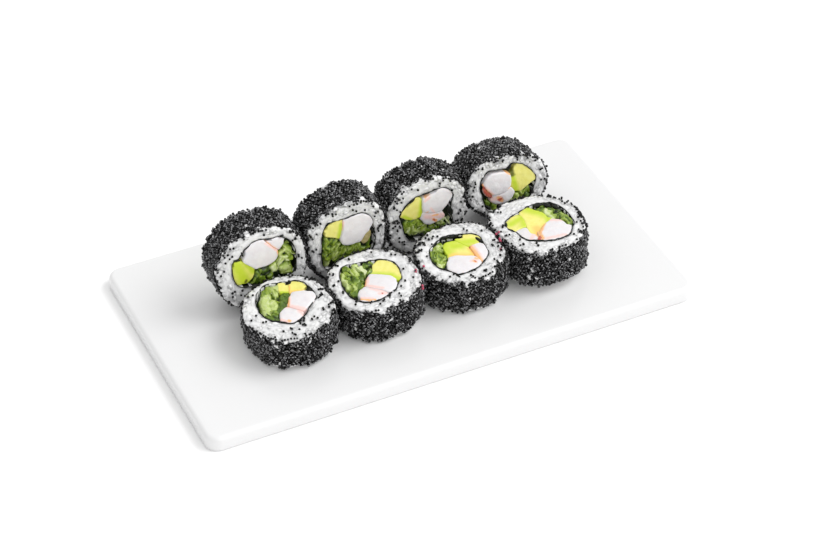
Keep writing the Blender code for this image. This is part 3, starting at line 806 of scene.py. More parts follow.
# Stray beads on the rice of the shown face: middle of a group, its reach, and how many
STRAYS = {
    "front_1": ((11.0, 20.4, 2.0, 8), (16.4, 12.8, 1.6, 7), (19.2, 8.0, 1.5, 3), (18.2, 2.6, 1.2, 4),
                (17.4, -1.2, 1.2, 5), (17.8, -7.4, 1.4, 6), (15.4, -11.0, 1.4, 5), (7.4, -14.6, 1.6, 6),
                (3.4, -11.6, 1.0, 4), (1.4, -15.6, 1.6, 6), (-4.6, -14.8, 1.2, 3), (-8.8, -14.2, 0.6, 2),
                (-14.8, -3.2, 1.6, 3), (-16.2, 2.0, 1.2, 2), (-13.0, 17.4, 1.6, 3), (-3.0, -18.0, 1.8, 5)),
    "front_2": ((14.2, 17.4, 2.2, 12), (18.0, 12.6, 1.8, 7), (5.2, 16.6, 1.0, 2), (-17.0, 11.6, 1.6, 5),
                (-18.4, 4.8, 1.2, 4), (-17.6, -3.6, 1.0, 3), (-14.8, -11.0, 1.2, 4), (-9.4, -15.4, 1.8, 6),
                (-3.4, -15.4, 1.6, 6), (1.4, -15.2, 0.8, 2), (9.2, -11.0, 0.5, 2), (6.8, -18.2, 1.4, 3),
                (12.8, -9.8, 2.0, 3), (14.6, -2.4, 2.0, 3), (-12.6, 16.8, 1.8, 6), (-6.0, 19.6, 1.6, 5)),
    "front_3": ((-14.6, 13.4, 2.2, 14), (-10.6, 16.4, 1.8, 9), (-16.6, 9.0, 1.4, 6), (-5.8, 16.4, 1.4, 5),
                (-17.0, 2.4, 1.0, 3), (-12.0, -15.0, 1.2, 3), (5.2, -17.8, 0.8, 4), (15.4, -3.4, 1.4, 3),
                (18.8, -1.0, 0.8, 3), (19.0, -6.4, 1.2, 4), (14.0, -15.0, 1.4, 5), (9.4, 13.2, 1.0, 3),
                (-1.6, -15.0, 2.0, 4), (17.8, -12.0, 1.4, 4), (11.4, -18.4, 1.2, 4)),
    "front_4": ((-19.8, -5.0, 1.4, 4), (-14.0, -8.6, 1.0, 3), (-11.2, -10.8, 0.8, 3), (-16.2, -14.6, 1.2, 4),
                (-10.0, -18.0, 1.4, 5), (18.6, 8.6, 1.4, 6), (17.4, 13.0, 1.4, 5), (14.6, 17.6, 1.4, 4),
                (19.4, -6.4, 1.2, 4), (16.6, -12.0, 1.4, 5), (12.4, -16.4, 1.4, 5), (-16.8, 17.0, 1.6, 3),
                (-18.0, 6.0, 0.8, 2)),
    "back_1": ((-14.0, 16.4, 1.2, 4), (-16.2, 12.2, 1.0, 3), (-16.6, -8.6, 1.6, 5), (15.0, 16.4, 1.2, 5),
               (11.6, 16.4, 0.8, 3), (17.4, 12.6, 1.4, 6), (19.2, 1.6, 1.2, 5), (18.0, 6.8, 1.0, 3),
               (-20.2, 4.0, 1.2, 3), (-11.8, -9.6, 1.2, 3)),
    "back_2": ((-15.2, 16.4, 0.8, 3), (-14.6, -2.6, 0.8, 2), (-17.6, 9.6, 1.2, 3), (-18.6, 0.4, 1.2, 4),
               (17.6, 3.4, 1.4, 7), (14.8, -1.2, 0.8, 3), (12.8, 17.2, 1.6, 5), (3.6, 19.4, 1.6, 5),
               (17.0, 11.6, 1.2, 4), (-9.4, 18.2, 1.4, 4)),
    "back_3": ((-15.0, 15.4, 1.6, 7), (-17.8, 9.8, 1.4, 6), (-18.6, 3.0, 1.8, 12), (-17.6, -3.0, 1.6, 9),
               (-15.6, 0.8, 1.2, 5), (-6.4, 18.6, 0.6, 3), (6.2, 18.0, 0.8, 3), (17.6, -3.2, 1.2, 5),
               (19.6, 2.6, 1.2, 4), (16.4, -8.4, 1.2, 4), (-12.6, -11.6, 1.6, 5), (13.2, 12.4, 1.0, 2)),
    "back_4": ((-3.0, 15.4, 1.0, 4), (-14.4, 14.0, 1.0, 3), (-19.8, 6.0, 1.2, 4), (-20.4, 0.2, 1.2, 4),
               (-18.8, 3.4, 0.8, 2), (-15.2, -6.4, 1.0, 3), (12.4, 5.8, 0.8, 3), (18.0, 4.2, 1.2, 4),
               (19.0, -2.0, 1.0, 3), (6.6, 16.4, 1.6, 5), (12.0, 13.4, 1.4, 4), (-8.8, 17.0, 1.2, 3)),
}


def add_roe(piece, rng):
    """Beads all over the wall and round the rims, some in clumps on others, a few astray."""
    half = piece.half - 0.2
    angles, heights = wall_points(piece.coat, half, BEAD_PITCH, BEAD_JITTER, rng)
    radii = BEAD_RADIUS * (1.0 + rng.uniform(-BEAD_UNEVEN, BEAD_UNEVEN, len(angles)))
    rounding = np.clip((np.abs(heights) - piece.half + RIM_HEIGHT) / RIM_HEIGHT, 0.0, 1.2) ** 2 * RIM_DRAW
    reach = piece.coat.radius(angles) + BEAD_REACH - rounding - radii - rng.uniform(0.0, BEAD_SINK, len(angles))
    x, y = on_outline(piece.coat, angles, reach)
    places = np.stack([x, y, heights], 1)
    # Each bead's +Z, round which its painted highlight lies, points outwards from the wall, give or take a wobble.
    ways = np.stack([np.cos(angles), np.sin(angles), 0.8 * rounding * np.sign(heights)], 1)
    kept = (heights < rim_limit(piece, angles, 1)) & (heights > -rim_limit(piece, angles, -1))
    for angle, height, heading, size in piece.wall_grains:
        along = piece.coat.radius(angles) * (np.mod(angles - angle + math.pi, TURN) - math.pi)
        up = heights - height
        lengthways = along * math.cos(heading) + up * math.sin(heading)
        sideways = up * math.cos(heading) - along * math.sin(heading)
        kept &= (lengthways / (2.0 * size)) ** 2 + (sideways / (1.2 * size)) ** 2 > 1.0
    clumps = np.array([uneven(*point, CLUMP_SIZE, 30 + piece.number) for point in places])
    on_top = kept & (clumps > CLUMP_LEVEL) & (rng.random(len(angles)) < CLUMP_SHARE)
    upper = places[on_top].copy()
    outward = np.stack([np.cos(angles[on_top]), np.sin(angles[on_top])], 1)
    upper[:, :2] += outward * (BEAD_RADIUS * rng.uniform(0.7, 1.15, len(upper)))[:, None]
    upper[:, 2] += rng.uniform(-0.5, 0.5, len(upper))
    loose, loose_ways = face_beads(piece, rng)
    # Tones set how bright each bead's painted highlight is; stray beads get dimmer ones.
    tones = np.concatenate([rng.random(kept.sum() + on_top.sum()), STRAY_TONE * rng.random(len(loose))])
    places = np.concatenate([places[kept], upper, loose])
    ways = np.concatenate([ways[kept], ways[on_top], loose_ways])
    sizes = np.concatenate([radii[kept], radii[on_top], BEAD_RADIUS * rng.uniform(0.75, 0.95, len(loose))])
    room = in_room(piece, places, sizes)
    places, ways, sizes, tones = places[room], ways[room], sizes[room], tones[room]
    data = tiled(piece.name + ".roe_beads", BEAD, places, facing_turns(rng, ways, BEAD_WOBBLE), sizes,
                 tones, piece.to_world)
    add_piece(piece.name + ".roe_beads", data, "roe", "roe")


def face_beads(piece, rng):
    """Beads that climb over the rims of the cut faces, and a few strays further in."""
    places, ways = [], []
    for face in ((1, -1) if piece.standing else (1,)):
        for row in range(3):
            count = int(TURN * piece.coat.radii.mean() / BEAD_PITCH)
            angles = TURN * (np.arange(count) + rng.uniform(-0.3, 0.3, count)) / count
            depths = 1.1 + 1.2 * row + rng.uniform(-0.3, 0.3, count)
            x, y = on_outline(piece.coat, angles, piece.coat.radius(angles) - depths)
            cleared = 4.0 * bare(piece, angles, face)
            for px, py, depth, angle, clear in zip(x, y, depths, angles, cleared):
                spread = RIM_SPREAD * uneven(px, py, 9.0 * face, 3.4, 20 + piece.number) - clear
                if depth < spread + 0.6:
                    places.append((px, py, face * (piece.half - 0.15 + 0.16 * depth)))
                    ways.append((0.5 * math.cos(angle), 0.5 * math.sin(angle), face))
        angles = rng.uniform(0.0, TURN, STRAY_BEADS)
        depths = 1.3 + rng.exponential(STRAY_REACH, STRAY_BEADS)
        spots = list(zip(*on_outline(piece.coat, angles, piece.coat.radius(angles) - depths)))
        for cx, cy, spread, count in (STRAYS[piece.name] if face > 0 else ()):
            spots += [(rng.normal(cx, 0.85 * spread), rng.normal(cy, 0.85 * spread))
                      for _ in range(round(STRAY_SHARE * count))]
        for px, py in spots:
            if piece.sheet.beyond(px, py) > 0.3 and piece.coat.beyond(px, py) < -0.6:
                places.append((px, py, face * (piece.half + rng.uniform(0.45, 0.8))))
                ways.append((0.0, 0.0, face))
    return np.array(places), np.array(ways)


def add_roe_bed(piece):
    """The dark bed that the beads sit in."""
    half = piece.half - 1.0
    section = [(0.0, -1.0), (0.0, 1.0), (0.5, 1.0), (1.0, 1.0)]
    section += [(1.0, 1.0 - 2.0 * step / 8) for step in range(1, 8)] + [(1.0, -1.0), (0.5, -1.0)]
    mesh = spun_hoop(section, 120)
    inner = piece.coat.grown(-2.6)
    outer = piece.coat.grown(-BEAD_BED)

    def height_at(point, across, level):
        angle = math.atan2(point.y - piece.coat.middle[1], point.x - piece.coat.middle[0])
        limit = float(rim_limit(piece, np.array([angle]), 1 if level > 0 else -1)[0])
        return level * min(half, limit - 0.1)

    shape_hoop(mesh, inner, outer, height_at, piece.number, wave=0.15, wave_size=1.3)
    data = mesh_from(mesh, piece.name + ".roe_bed", piece.to_world)
    add_piece(piece.name + ".roe_bed", data, "roe bed", "roe", (piece.name + ".roe",))


def add_rice_bed(piece):
    """The pressed rice under the loose grains, uneven on both cut faces and round the rim."""
    across_steps = 12
    top = [(step / across_steps, 1.0) for step in range(across_steps + 1)]
    side = [(0.91, 1.0 - 2.0 * step / 10) for step in range(1, 10)]
    foot = [(1.0 - step / across_steps, -1.0) for step in range(across_steps + 1)]
    mesh = spun_hoop(top + side + foot, 180)
    inner = piece.sheet.grown(-0.15)
    outer = piece.coat.grown(-1.0)

    def height_at(point, across, level):
        lumps = 0.45 * uneven(point.x, point.y, level, 3.0, 40 + piece.number)
        lumps += 0.12 * uneven(point.x, point.y, level, 1.1, 44 + piece.number)
        rounded = 0.9 * max(0.0, across - 0.8) * 5.0
        beside = 0.5 * max(0.0, 1.0 - across / 0.25)
        return level * (piece.half - RICE_BED + lumps - beside - rounded)

    shape_hoop(mesh, inner, outer, height_at, piece.number, wave=0.3, wave_size=2.0)
    add_share(mesh, "tone", lambda vertex: 0.45 + 0.3 * uneven(*vertex.co, 4.0, piece.number))
    data = mesh_from(mesh, piece.name + ".rice_bed", piece.to_world)
    add_piece(piece.name + ".rice_bed", data, "rice", "rice", (piece.name + ".rice",))


def face_room(piece, x, y):
    """How far points on a cut face are from the seaweed, and how far from the coat's edge."""
    dx, dy = x - piece.sheet.middle[0], y - piece.sheet.middle[1]
    inner = np.hypot(dx, dy) - piece.sheet.radius(np.arctan2(dy, dx))
    dx, dy = x - piece.coat.middle[0], y - piece.coat.middle[1]
    outer = piece.coat.radius(np.arctan2(dy, dx)) - np.hypot(dx, dy)
    return inner, outer


def face_grains(piece, face, rng):
    """Places and headings of the grains on one cut face, spread evenly."""
    places, headings = [], []
    reach = float(piece.coat.radii.max())
    while len(places) < GRAINS_ON_FACE:
        tries = rng.uniform(-reach, reach, (GRAIN_TRIES * 6, 2)) + np.array(piece.coat.middle)
        inner, outer = face_room(piece, tries[:, 0], tries[:, 1])
        tries = tries[(inner > 1.0) & (outer > 1.9)][:GRAIN_TRIES]
        if len(tries) == 0:
            continue
        spot = tries[0]
        if places:
            apart = np.linalg.norm(tries[:, None, :] - np.array(places)[None, :, :], axis=2).min(1)
            spot = tries[apart.argmax()]
        choices = rng.uniform(0.0, math.pi, 8)
        reach_x, reach_y = 0.9 * GRAIN_HALF.x * np.cos(choices), 0.9 * GRAIN_HALF.x * np.sin(choices)
        room = [np.minimum(*face_room(piece, spot[0] + side * reach_x, spot[1] + side * reach_y)) for side in (1, -1)]
        places.append(tuple(spot))
        headings.append(choices[np.minimum(*room).argmax()])
    places = np.array(places)
    inner, outer = face_room(piece, places[:, 0], places[:, 1])
    beside = 0.35 * np.clip(1.0 - (inner - 1.0) / 1.5, 0.0, 1.0)
    heights = piece.half - GRAIN_DEPTH - beside + rng.uniform(-0.2, 0.25, len(places))
    return np.column_stack([places, face * heights]), np.array(headings)


def rim_grains(piece, face, rng):
    """Grains round the edge of a cut face, some of them hanging over it."""
    angles = TURN * (np.arange(GRAINS_ON_RIM) + rng.uniform(-0.35, 0.35, GRAINS_ON_RIM)) / GRAINS_ON_RIM
    over = hang(piece, angles, face)
    heights = piece.half - 0.95 - 1.2 * over + rng.uniform(-0.3, 0.15, GRAINS_ON_RIM)
    depths = 2.5 - 0.9 * over + rng.uniform(-0.25, 0.25, GRAINS_ON_RIM)
    x, y = on_outline(piece.coat, angles, piece.coat.radius(angles) - depths)
    turns = []
    for angle, share in zip(angles, over):
        tip = rng.uniform(0.1, 0.4) + 0.8 * share
        turn = Matrix.Rotation(angle, 3, "Z") @ Matrix.Rotation(face * tip, 3, "Y")
        turns.append(np.array(turn @ Matrix.Rotation(math.pi / 2 + rng.normal(0.0, 0.6), 3, "Z")))
    return np.column_stack([x, y, face * heights]), np.array(turns)


def add_grains(piece, rng):
    """Loose grains on the cut faces that show, over their rims, and here and there in the wall."""
    places, turns = [], []
    for face in ((1, -1) if piece.standing else (1,)):
        spots, headings = face_grains(piece, face, rng)
        places.append(spots)
        turns.append(laid_turns(rng, headings, 0.12, 0.5))
        spots, spot_turns = rim_grains(piece, face, rng)
        places.append(spots)
        turns.append(spot_turns)
    for angle, height, heading, _ in piece.wall_grains:
        x, y = on_outline(piece.coat, angle, piece.coat.radius(angle) - 1.75)
        places.append(np.array([[x, y, height]]))
        turn = Matrix.Rotation(angle, 3, "Z") @ Matrix.Rotation(math.pi / 2, 3, "Y")
        turn = turn @ Matrix.Rotation(-heading + math.pi / 2, 3, "Z")
        turns.append(np.array([np.array(turn)]))
    places, turns = np.concatenate(places), np.concatenate(turns)
    sizes = 1.0 + rng.uniform(-GRAIN_UNEVEN, GRAIN_UNEVEN, len(places))
    room = in_room(piece, places, 2.4 * np.ones(len(places)))
    places, turns, sizes = places[room], turns[room], sizes[room]
    data = tiled(piece.name + ".rice_grains", GRAIN, places, turns, sizes, rng.random(len(places)), piece.to_world)
    add_piece(piece.name + ".rice_grains", data, "rice", "rice")


# Stray red beads: place in the face, and height above it
RED_BEADS = {
    "front_2": ((20.2, -4.1, 0.3), (19.6, -5.3, 0.2), (18.4, -15.4, -0.2), (17.7, -17.1, -0.4)),
    "front_3": ((22.0, 3.8, 0.1), (21.7, -0.4, 0.2), (21.2, -2.0, 0.2), (18.6, -7.7, 0.3), (-20.2, -1.2, 0.2)),
    "front_4": ((-21.6, 1.8, 0.2),),
}


def add_red_beads(piece, rng):
    places = np.array(RED_BEADS[piece.name]) + np.array((0.0, 0.0, piece.half))
    count = len(places)
    ways = np.tile((0.0, 0.0, 1.0), (count, 1))
    data = tiled(piece.name + ".red_beads", BEAD, places, facing_turns(rng, ways, BEAD_WOBBLE),
                 np.full(count, BEAD_RADIUS), rng.random(count), piece.to_world)
    add_piece(piece.name + ".red_beads", data, "red roe", "roe")


# ---------------------------------------------------------------- seaweed and fillings

def add_seaweed(piece):
    """The sheet of seaweed, wrinkled where it was rolled."""
    section = [(0.0, 1.0 - step / 4) for step in range(9)] + [(1.0, -1.0 + step / 4) for step in range(9)]
    mesh = spun_hoop(section, 180)
    inner = piece.opening.grown(0.05)
    steps = TURN * np.arange(OUTLINE_STEPS) / OUTLINE_STEPS
    thick = [0.35 * uneven(8.0 * math.cos(step), 8.0 * math.sin(step), 0.0, 1.2, piece.number) for step in steps]
    outer = Outline(piece.sheet.middle, piece.sheet.radii + thick, piece.sheet.low, piece.sheet.high)

    def height_at(point, across, level):
        ragged = 0.4 * uneven(point.x, point.y, 0.0, 2.2, 60 + piece.number)
        lip = 0.15 - 0.012 * (point.y - piece.opening.middle[1])
        return level * (piece.half + lip + (ragged if abs(level) > 0.9 else 0.0))

    shape_hoop(mesh, inner, outer, height_at, 70 + piece.number, wave=SEAWEED_WAVE, wave_size=1.9)
    data = mesh_from(mesh, piece.name + ".seaweed_sheet", piece.to_world)
    add_piece(piece.name + ".seaweed_sheet", data, "seaweed", "seaweed", (piece.name + ".seaweed",))


def make_lump(across, along, depth, heading, tone, seed, fold):
    """A creased lump, longest along its heading, flat on top, with painted shade darkening its tone round its edge."""
    mesh = bmesh.new()
    bmesh.ops.create_icosphere(mesh, subdivisions=4, radius=1.0)
    layer = mesh.verts.layers.float.new("tone")
    for vertex in mesh.verts:
        x, y, z = vertex.co
        crease = creased(x * across, 0.35 * y * along, z, 1.5, seed)
        edge = max(0.0, math.hypot(x, y) - 0.7) / 0.3
        soft = uneven(x * across, y * along, z, 2.0, seed + 9.0)
        # Painted light and shade in the tone: lighter on the ridges of the creases, darker round the edge where the
        # lump falls away.
        vertex[layer] = tone + 0.14 * crease + 0.12 * soft - 0.28 * edge
        grown = 1.0 + fold * crease
        vertex.co = (x * across * grown, y * along * grown, z * depth * (0.6 if z > 0.0 else 1.0) * grown)
    bmesh.ops.rotate(mesh, verts=mesh.verts[:], matrix=Matrix.Rotation(math.radians(heading - 90.0), 3, "Z"))
    return mesh


def add_lumps(piece, lumps, depth, fold, level):
    """Creased lumps set into one level of a piece, on each of its faces that show."""
    whole = bmesh.new()
    for end in ((1, -1) if piece.standing else (1,)):
        for number, (x, y, across, along, heading, tone) in enumerate(lumps):
            lump = make_lump(across, along, depth, heading, tone, piece.number + 0.37 * number + 50.0 * end, fold)
            top = 0.6 * depth
            if end < 0:
                bmesh.ops.scale(lump, vec=(1, 1, -1), verts=lump.verts[:])
                bmesh.ops.reverse_faces(lump, faces=lump.faces[:])
            bmesh.ops.translate(lump, verts=lump.verts[:], vec=(x, y, end * (level - top)))
            join_into(whole, lump)
    return whole


# Folds of seaweed on top of its own sheet: place, half sizes across and along, and heading
SEAWEED_FOLDS = {
    "front_1": ((0.6, -11.7, 0.5, 1.7, 100), (16.4, -1.0, 0.4, 1.5, 15), (13.9, 6.3, 1.3, 1.4, 0),
                (7.6, 15.9, 0.7, 1.3, 90)),
    "front_2": ((1.2, -15.2, 0.4, 2.3, 62), (2.6, -12.4, 0.6, 1.0, 60)),
    "front_3": ((-1.6, 13.4, 0.6, 2.0, 175), (1.4, 12.6, 0.7, 1.6, 168), (12.4, 4.6, 0.8, 2.2, 105), (-8.4, -15.2, 0.5, 1.4, 120)),
    "front_4": ((6.4, 14.0, 1.1, 2.6, 168), (10.2, 12.0, 1.1, 2.0, 130), (13.2, 8.2, 1.0, 2.6, 110), (-15.4, 6.2, 0.6, 1.5, 60)),
    "back_1": ((-9.3, 11.4, 0.4, 1.6, 105), (-12.4, 8.9, 0.6, 1.9, 165), (17.2, -5.0, 0.6, 1.8, 80)),
    "back_2": ((13.8, 1.5, 0.6, 1.6, 100), (-10.3, 14.0, 0.5, 1.5, 50)),
    "back_3": ((-8.6, 11.8, 0.7, 2.0, 40), (12.6, -1.4, 1.3, 3.2, 112)),
    "back_4": ((1.9, 10.6, 0.7, 1.5, 60), (13.2, -6.3, 1.0, 2.0, 105), (-11.5, -9.0, 0.8, 2.0, 130)),
}


def add_seaweed_folds(piece):
    lumps = [(*fold, 0.5) for fold in SEAWEED_FOLDS[piece.name]]
    whole = add_lumps(piece, lumps, 1.2, 0.12, piece.half + 0.4)
    data = mesh_from(whole, piece.name + ".seaweed_folds", piece.to_world)
    add_piece(piece.name + ".seaweed_folds", data, "seaweed", "seaweed")


# Loose skin between the fillings: place, half sizes across and along, and heading
SKINS = {
    "front_4": ((-4.8, -9.6, 1.0, 3.4, 76), (-6.0, -12.2, 1.3, 1.7, 40)),
    "back_4": ((-11.6, -0.4, 1.5, 3.6, 122), (-12.8, 3.0, 0.7, 2.2, 110)),
    "back_3": ((-0.8, 2.3, 0.4, 1.2, 170),),
}


def add_skins(piece):
    lumps = [(*skin, 0.5) for skin in SKINS[piece.name]]
    whole = add_lumps(piece, lumps, 1.2, 0.06, piece.half + 0.2)
    paint(whole, LAYERS["shrimp"], STROKES[piece.name + ".skin"])
    data = mesh_from(whole, piece.name + ".shrimp_skin", piece.to_world)
    add_piece(piece.name + ".shrimp_skin", data, "shrimp", "shrimp")


# Paint on the fillings: a layer, the two ends of a stroke in the face, and its width
STROKES = {
    "front_1.avocado_a": (("green", 1.2, 11.2, 4.2, 9.6, 1.6),),
    "front_1.avocado_b": (("amber", 5.8, 8.6, 10.8, 6.2, 2.4), ("amber", 5.0, 9.8, 6.4, 13.4, 1.0)),
    "front_1.shrimp_a": (("pink", 0.8, -1.4, 5.8, -6.6, 2.8), ("pink", 0.4, 0.0, 3.0, 5.4, 1.9),
                         ("orange", 0.2, -0.4, 2.6, 5.0, 0.9)),
    "front_1.shrimp_b": (("pink", 3.6, -5.4, 4.4, -8.6, 2.2), ("pink", -7.2, -6.2, -4.0, -9.8, 1.4),
                         ("pink", -1.4, 0.6, 0.2, -0.8, 1.6), ("orange", -3.6, -9.4, -3.2, -9.9, 1.3)),
    "front_2.avocado": (("green", -0.4, 4.2, 8.4, -1.4, 3.2), ("green", 9.0, -3.0, 10.4, -6.0, 2.6),
                        ("olive", 0.0, 3.8, 3.0, 1.9, 0.9)),
    "front_2.shrimp_a": (("pink", -4.8, -4.4, 0.2, -9.0, 1.5), ("pink", -3.0, 1.6, -5.6, -3.0, 1.8),
                         ("orange", -4.0, 1.8, -6.4, -2.8, 1.2)),
    "front_2.shrimp_b": (("pink", -4.4, -6.0, 1.0, -12.0, 2.4), ("pink", -2.6, -11.6, 0.2, -12.0, 2.0),
                         ("red", -1.4, -12.2, -1.0, -11.8, 0.8), ("orange", -12.2, -10.8, -9.0, -13.2, 0.9),
                         ("orange", -9.0, -13.4, -6.0, -14.4, 0.8), ("pink", -11.6, -10.0, -7.0, -13.4, 1.2)),
    "front_3.avocado_a": (("green", -6.2, 1.5, -4.2, 10.5, 6.5), ("green", -3.0, 10.4, 1.4, 9.6, 5.5), ("green", -1.0, 6.0, 2.6, 5.0, 4.4),
                          ("amber", -3.6, -1.6, 5.0, -6.2, 4.4), ("amber", 5.6, 0.5, 5.6, -6.6, 2.0)),
    "front_3.avocado_b": (("green", 1.8, 9.2, 5.2, 2.4, 4.4), ("green", 5.0, 6.4, 9.6, 4.6, 3.4)),
    "front_3.shrimp_a": (("red", 3.2, -9.8, 3.6, -10.6, 0.8), ("pink", 2.0, -9.6, 5.0, -9.0, 1.9),
                         ("orange", 4.4, -8.2, 5.6, -9.0, 1.2), ("orange", 2.6, -9.6, 3.4, -10.8, 1.2)),
    "front_3.shrimp_b": (("orange", 6.2, 1.6, 6.4, -10.4, 2.1), ("pink", 7.4, 1.6, 7.6, -9.0, 1.8),
                         ("red", 5.8, 1.8, 5.9, 0.8, 0.8)),
    "front_4.skin": (("orange", -3.0, -6.0, -5.0, -12.0, 4.0), ("red", -6.8, -13.0, -5.6, -11.6, 2.2)),
    "back_4.skin": (("orange", -13.6, 6.0, -8.0, -4.0, 4.0), ("red", -13.0, 2.6, -10.0, -3.0, 3.2)),
    "back_3.skin": (("orange", -2.0, 2.6, 0.6, 2.2, 3.0),),
    "front_4.avocado_a": (("green", -4.2, 9.8, -6.9, 1.4, 4.8), ("green", -13.0, 6.0, -6.0, 8.0, 3.6)),
    "front_4.avocado_b": (("green", 0.6, 12.4, 5.6, 5.6, 5.2), ("green", 6.4, 5.0, 5.4, -1.0, 3.6),
                          ("amber", -3.4, -3.0, -5.4, -8.2, 3.4), ("orange", 0.2, -4.2, -4.0, -9.0, 1.6),
                          ("amber", 1.6, -3.0, -3.4, -8.0, 1.8)),
    "front_4.shrimp_a": (("orange", 1.0, -3.0, -3.8, -8.4, 1.7), ("orange", -4.2, -8.4, -5.2, -13.4, 1.7),
                         ("pink", 5.0, -1.6, 10.6, -5.0, 1.8), ("pink", -3.4, -14.4, 6.0, -16.2, 1.8)),
    "front_4.shrimp_b": (("red", -7.4, -12.4, -6.2, -12.8, 1.7), ("orange", -6.0, -9.0, -5.6, -12.0, 1.5),
                         ("pink", -7.4, -8.0, -10.0, -10.4, 1.8)),
    "back_1.avocado": (("green", -12.5, 6.6, -9.0, -5.0, 6.0), ("green", -7.6, 5.0, -4.4, 0.0, 3.0),
                       ("olive", -8.8, -5.0, -8.2, -4.2, 1.4)),
    "back_1.shrimp_a": (("orange", 8.8, 8.0, 9.0, 5.0, 0.7), ("pink", 2.6, 14.6, 8.4, 8.2, 0.9)),
    "back_1.shrimp_b": (("pink", 3.0, 15.0, 9.0, 8.4, 1.5), ("orange", 3.4, 14.6, 8.0, 9.2, 0.7)),
    "back_2.avocado": (("green", -3.2, 11.0, -4.4, 3.0, 1.8), ("olive", -11.8, 6.0, -5.0, 2.4, 1.3)),
    "back_2.shrimp": (("pink", -2.0, 12.6, -2.8, 8.0, 1.2),),
    "back_3.avocado": (("green", -2.8, 10.4, -4.2, -0.4, 2.4), ("green", -13.0, 3.4, -9.0, 0.0, 1.6),
                       ("olive", -5.2, -0.4, -3.4, -0.8, 1.2)),
    "back_3.shrimp_a": (("orange", -1.6, 11.8, 1.4, 13.0, 0.7), ("orange", -1.2, 2.6, 0.0, 2.4, 0.7),
                        ("pink", 1.2, 4.8, 3.6, 0.8, 1.2), ("pink", -1.6, 10.0, 0.6, 11.2, 1.4)),
    "back_3.shrimp_b": (("pink", -1.0, -0.4, 8.8, -3.0, 3.0), ("red", 3.2, -3.6, 3.8, -4.2, 0.9),
                        ("orange", 3.0, -3.2, 4.6, -4.8, 1.5), ("orange", 2.6, -1.0, 5.6, -1.4, 0.9)),
    "back_4.shrimp_a": (("orange", 0.4, -1.2, 1.2, -0.8, 1.2), ("orange", -0.6, 8.4, 1.6, 6.4, 0.8),
                        ("orange", -9.6, 11.4, -6.0, 10.2, 0.8), ("red", -13.4, 3.6, -12.0, 0.6, 0.8),
                        ("orange", -12.4, 1.6, -9.4, -2.2, 1.0), ("pink", -12.6, 3.0, -8.4, -2.2, 1.6)),
    "back_4.shrimp_b": (("pink", -10.4, -5.0, -5.0, -5.2, 2.4), ("red", -5.4, -6.0, -4.2, -5.6, 1.5),
                        ("red", -12.6, -1.0, -9.6, -3.4, 1.9), ("orange", -5.6, -5.0, -4.0, -6.6, 2.0)),
    "back_4.avocado": (("olive", 2.8, 9.6, 3.2, 5.4, 2.4), ("green", 3.2, 4.2, 4.8, -3.6, 2.6)),
}

LAYERS = {"shrimp": ("pink", "orange", "red"), "avocado": ("green", "amber", "olive"), "sliver": ()}


def add_filling(piece, part):
    """A shrimp, an avocado or a sliver: a bar that runs through the piece, cut off flat."""
    kind = part.split("_")[0]
    number = sum(ord(letter) for letter in piece.name + part) % 50
    outline = piece.pressed_outlines[part]
    rings = 11
    mesh = unit_plug(72, rings, 4)
    slope = Vector((math.cos(number), math.sin(number))) * 0.02
    soft = kind == "shrimp"

    def relief(x, y, end):
        rise = 0.16 * uneven(x, y, end, 3.4, number) + 0.05 * uneven(x, y, end, 1.1, number)
        dome = 0.0
        if soft:
            dome = 0.4 * (1.0 - (math.hypot(x - outline.middle[0], y - outline.middle[1]) / outline.radii.mean()) ** 2)
        return rise + max(dome, -0.3) + slope.x * (x - outline.middle[0]) + slope.y * (y - outline.middle[1])

    shape_plug(mesh, outline, rings, 0.5 if soft else 0.35, relief)
    paint(mesh, LAYERS[kind], STROKES.get(piece.name + "." + part, ()))
    name = piece.name + "." + part + "_cut"
    data = mesh_from(mesh, name, piece.to_world)
    add_piece(name, data, kind, kind, (piece.name + "." + part,))


# How pale the leaves of each piece are where none of the lumps below is
LEAF_PALENESS = {
    "front_1": 0.40, "front_2": 0.42, "front_3": 0.40, "front_4": 0.38,
    "back_1": 0.42, "back_2": 0.42, "back_3": 0.42, "back_4": 0.42,
}

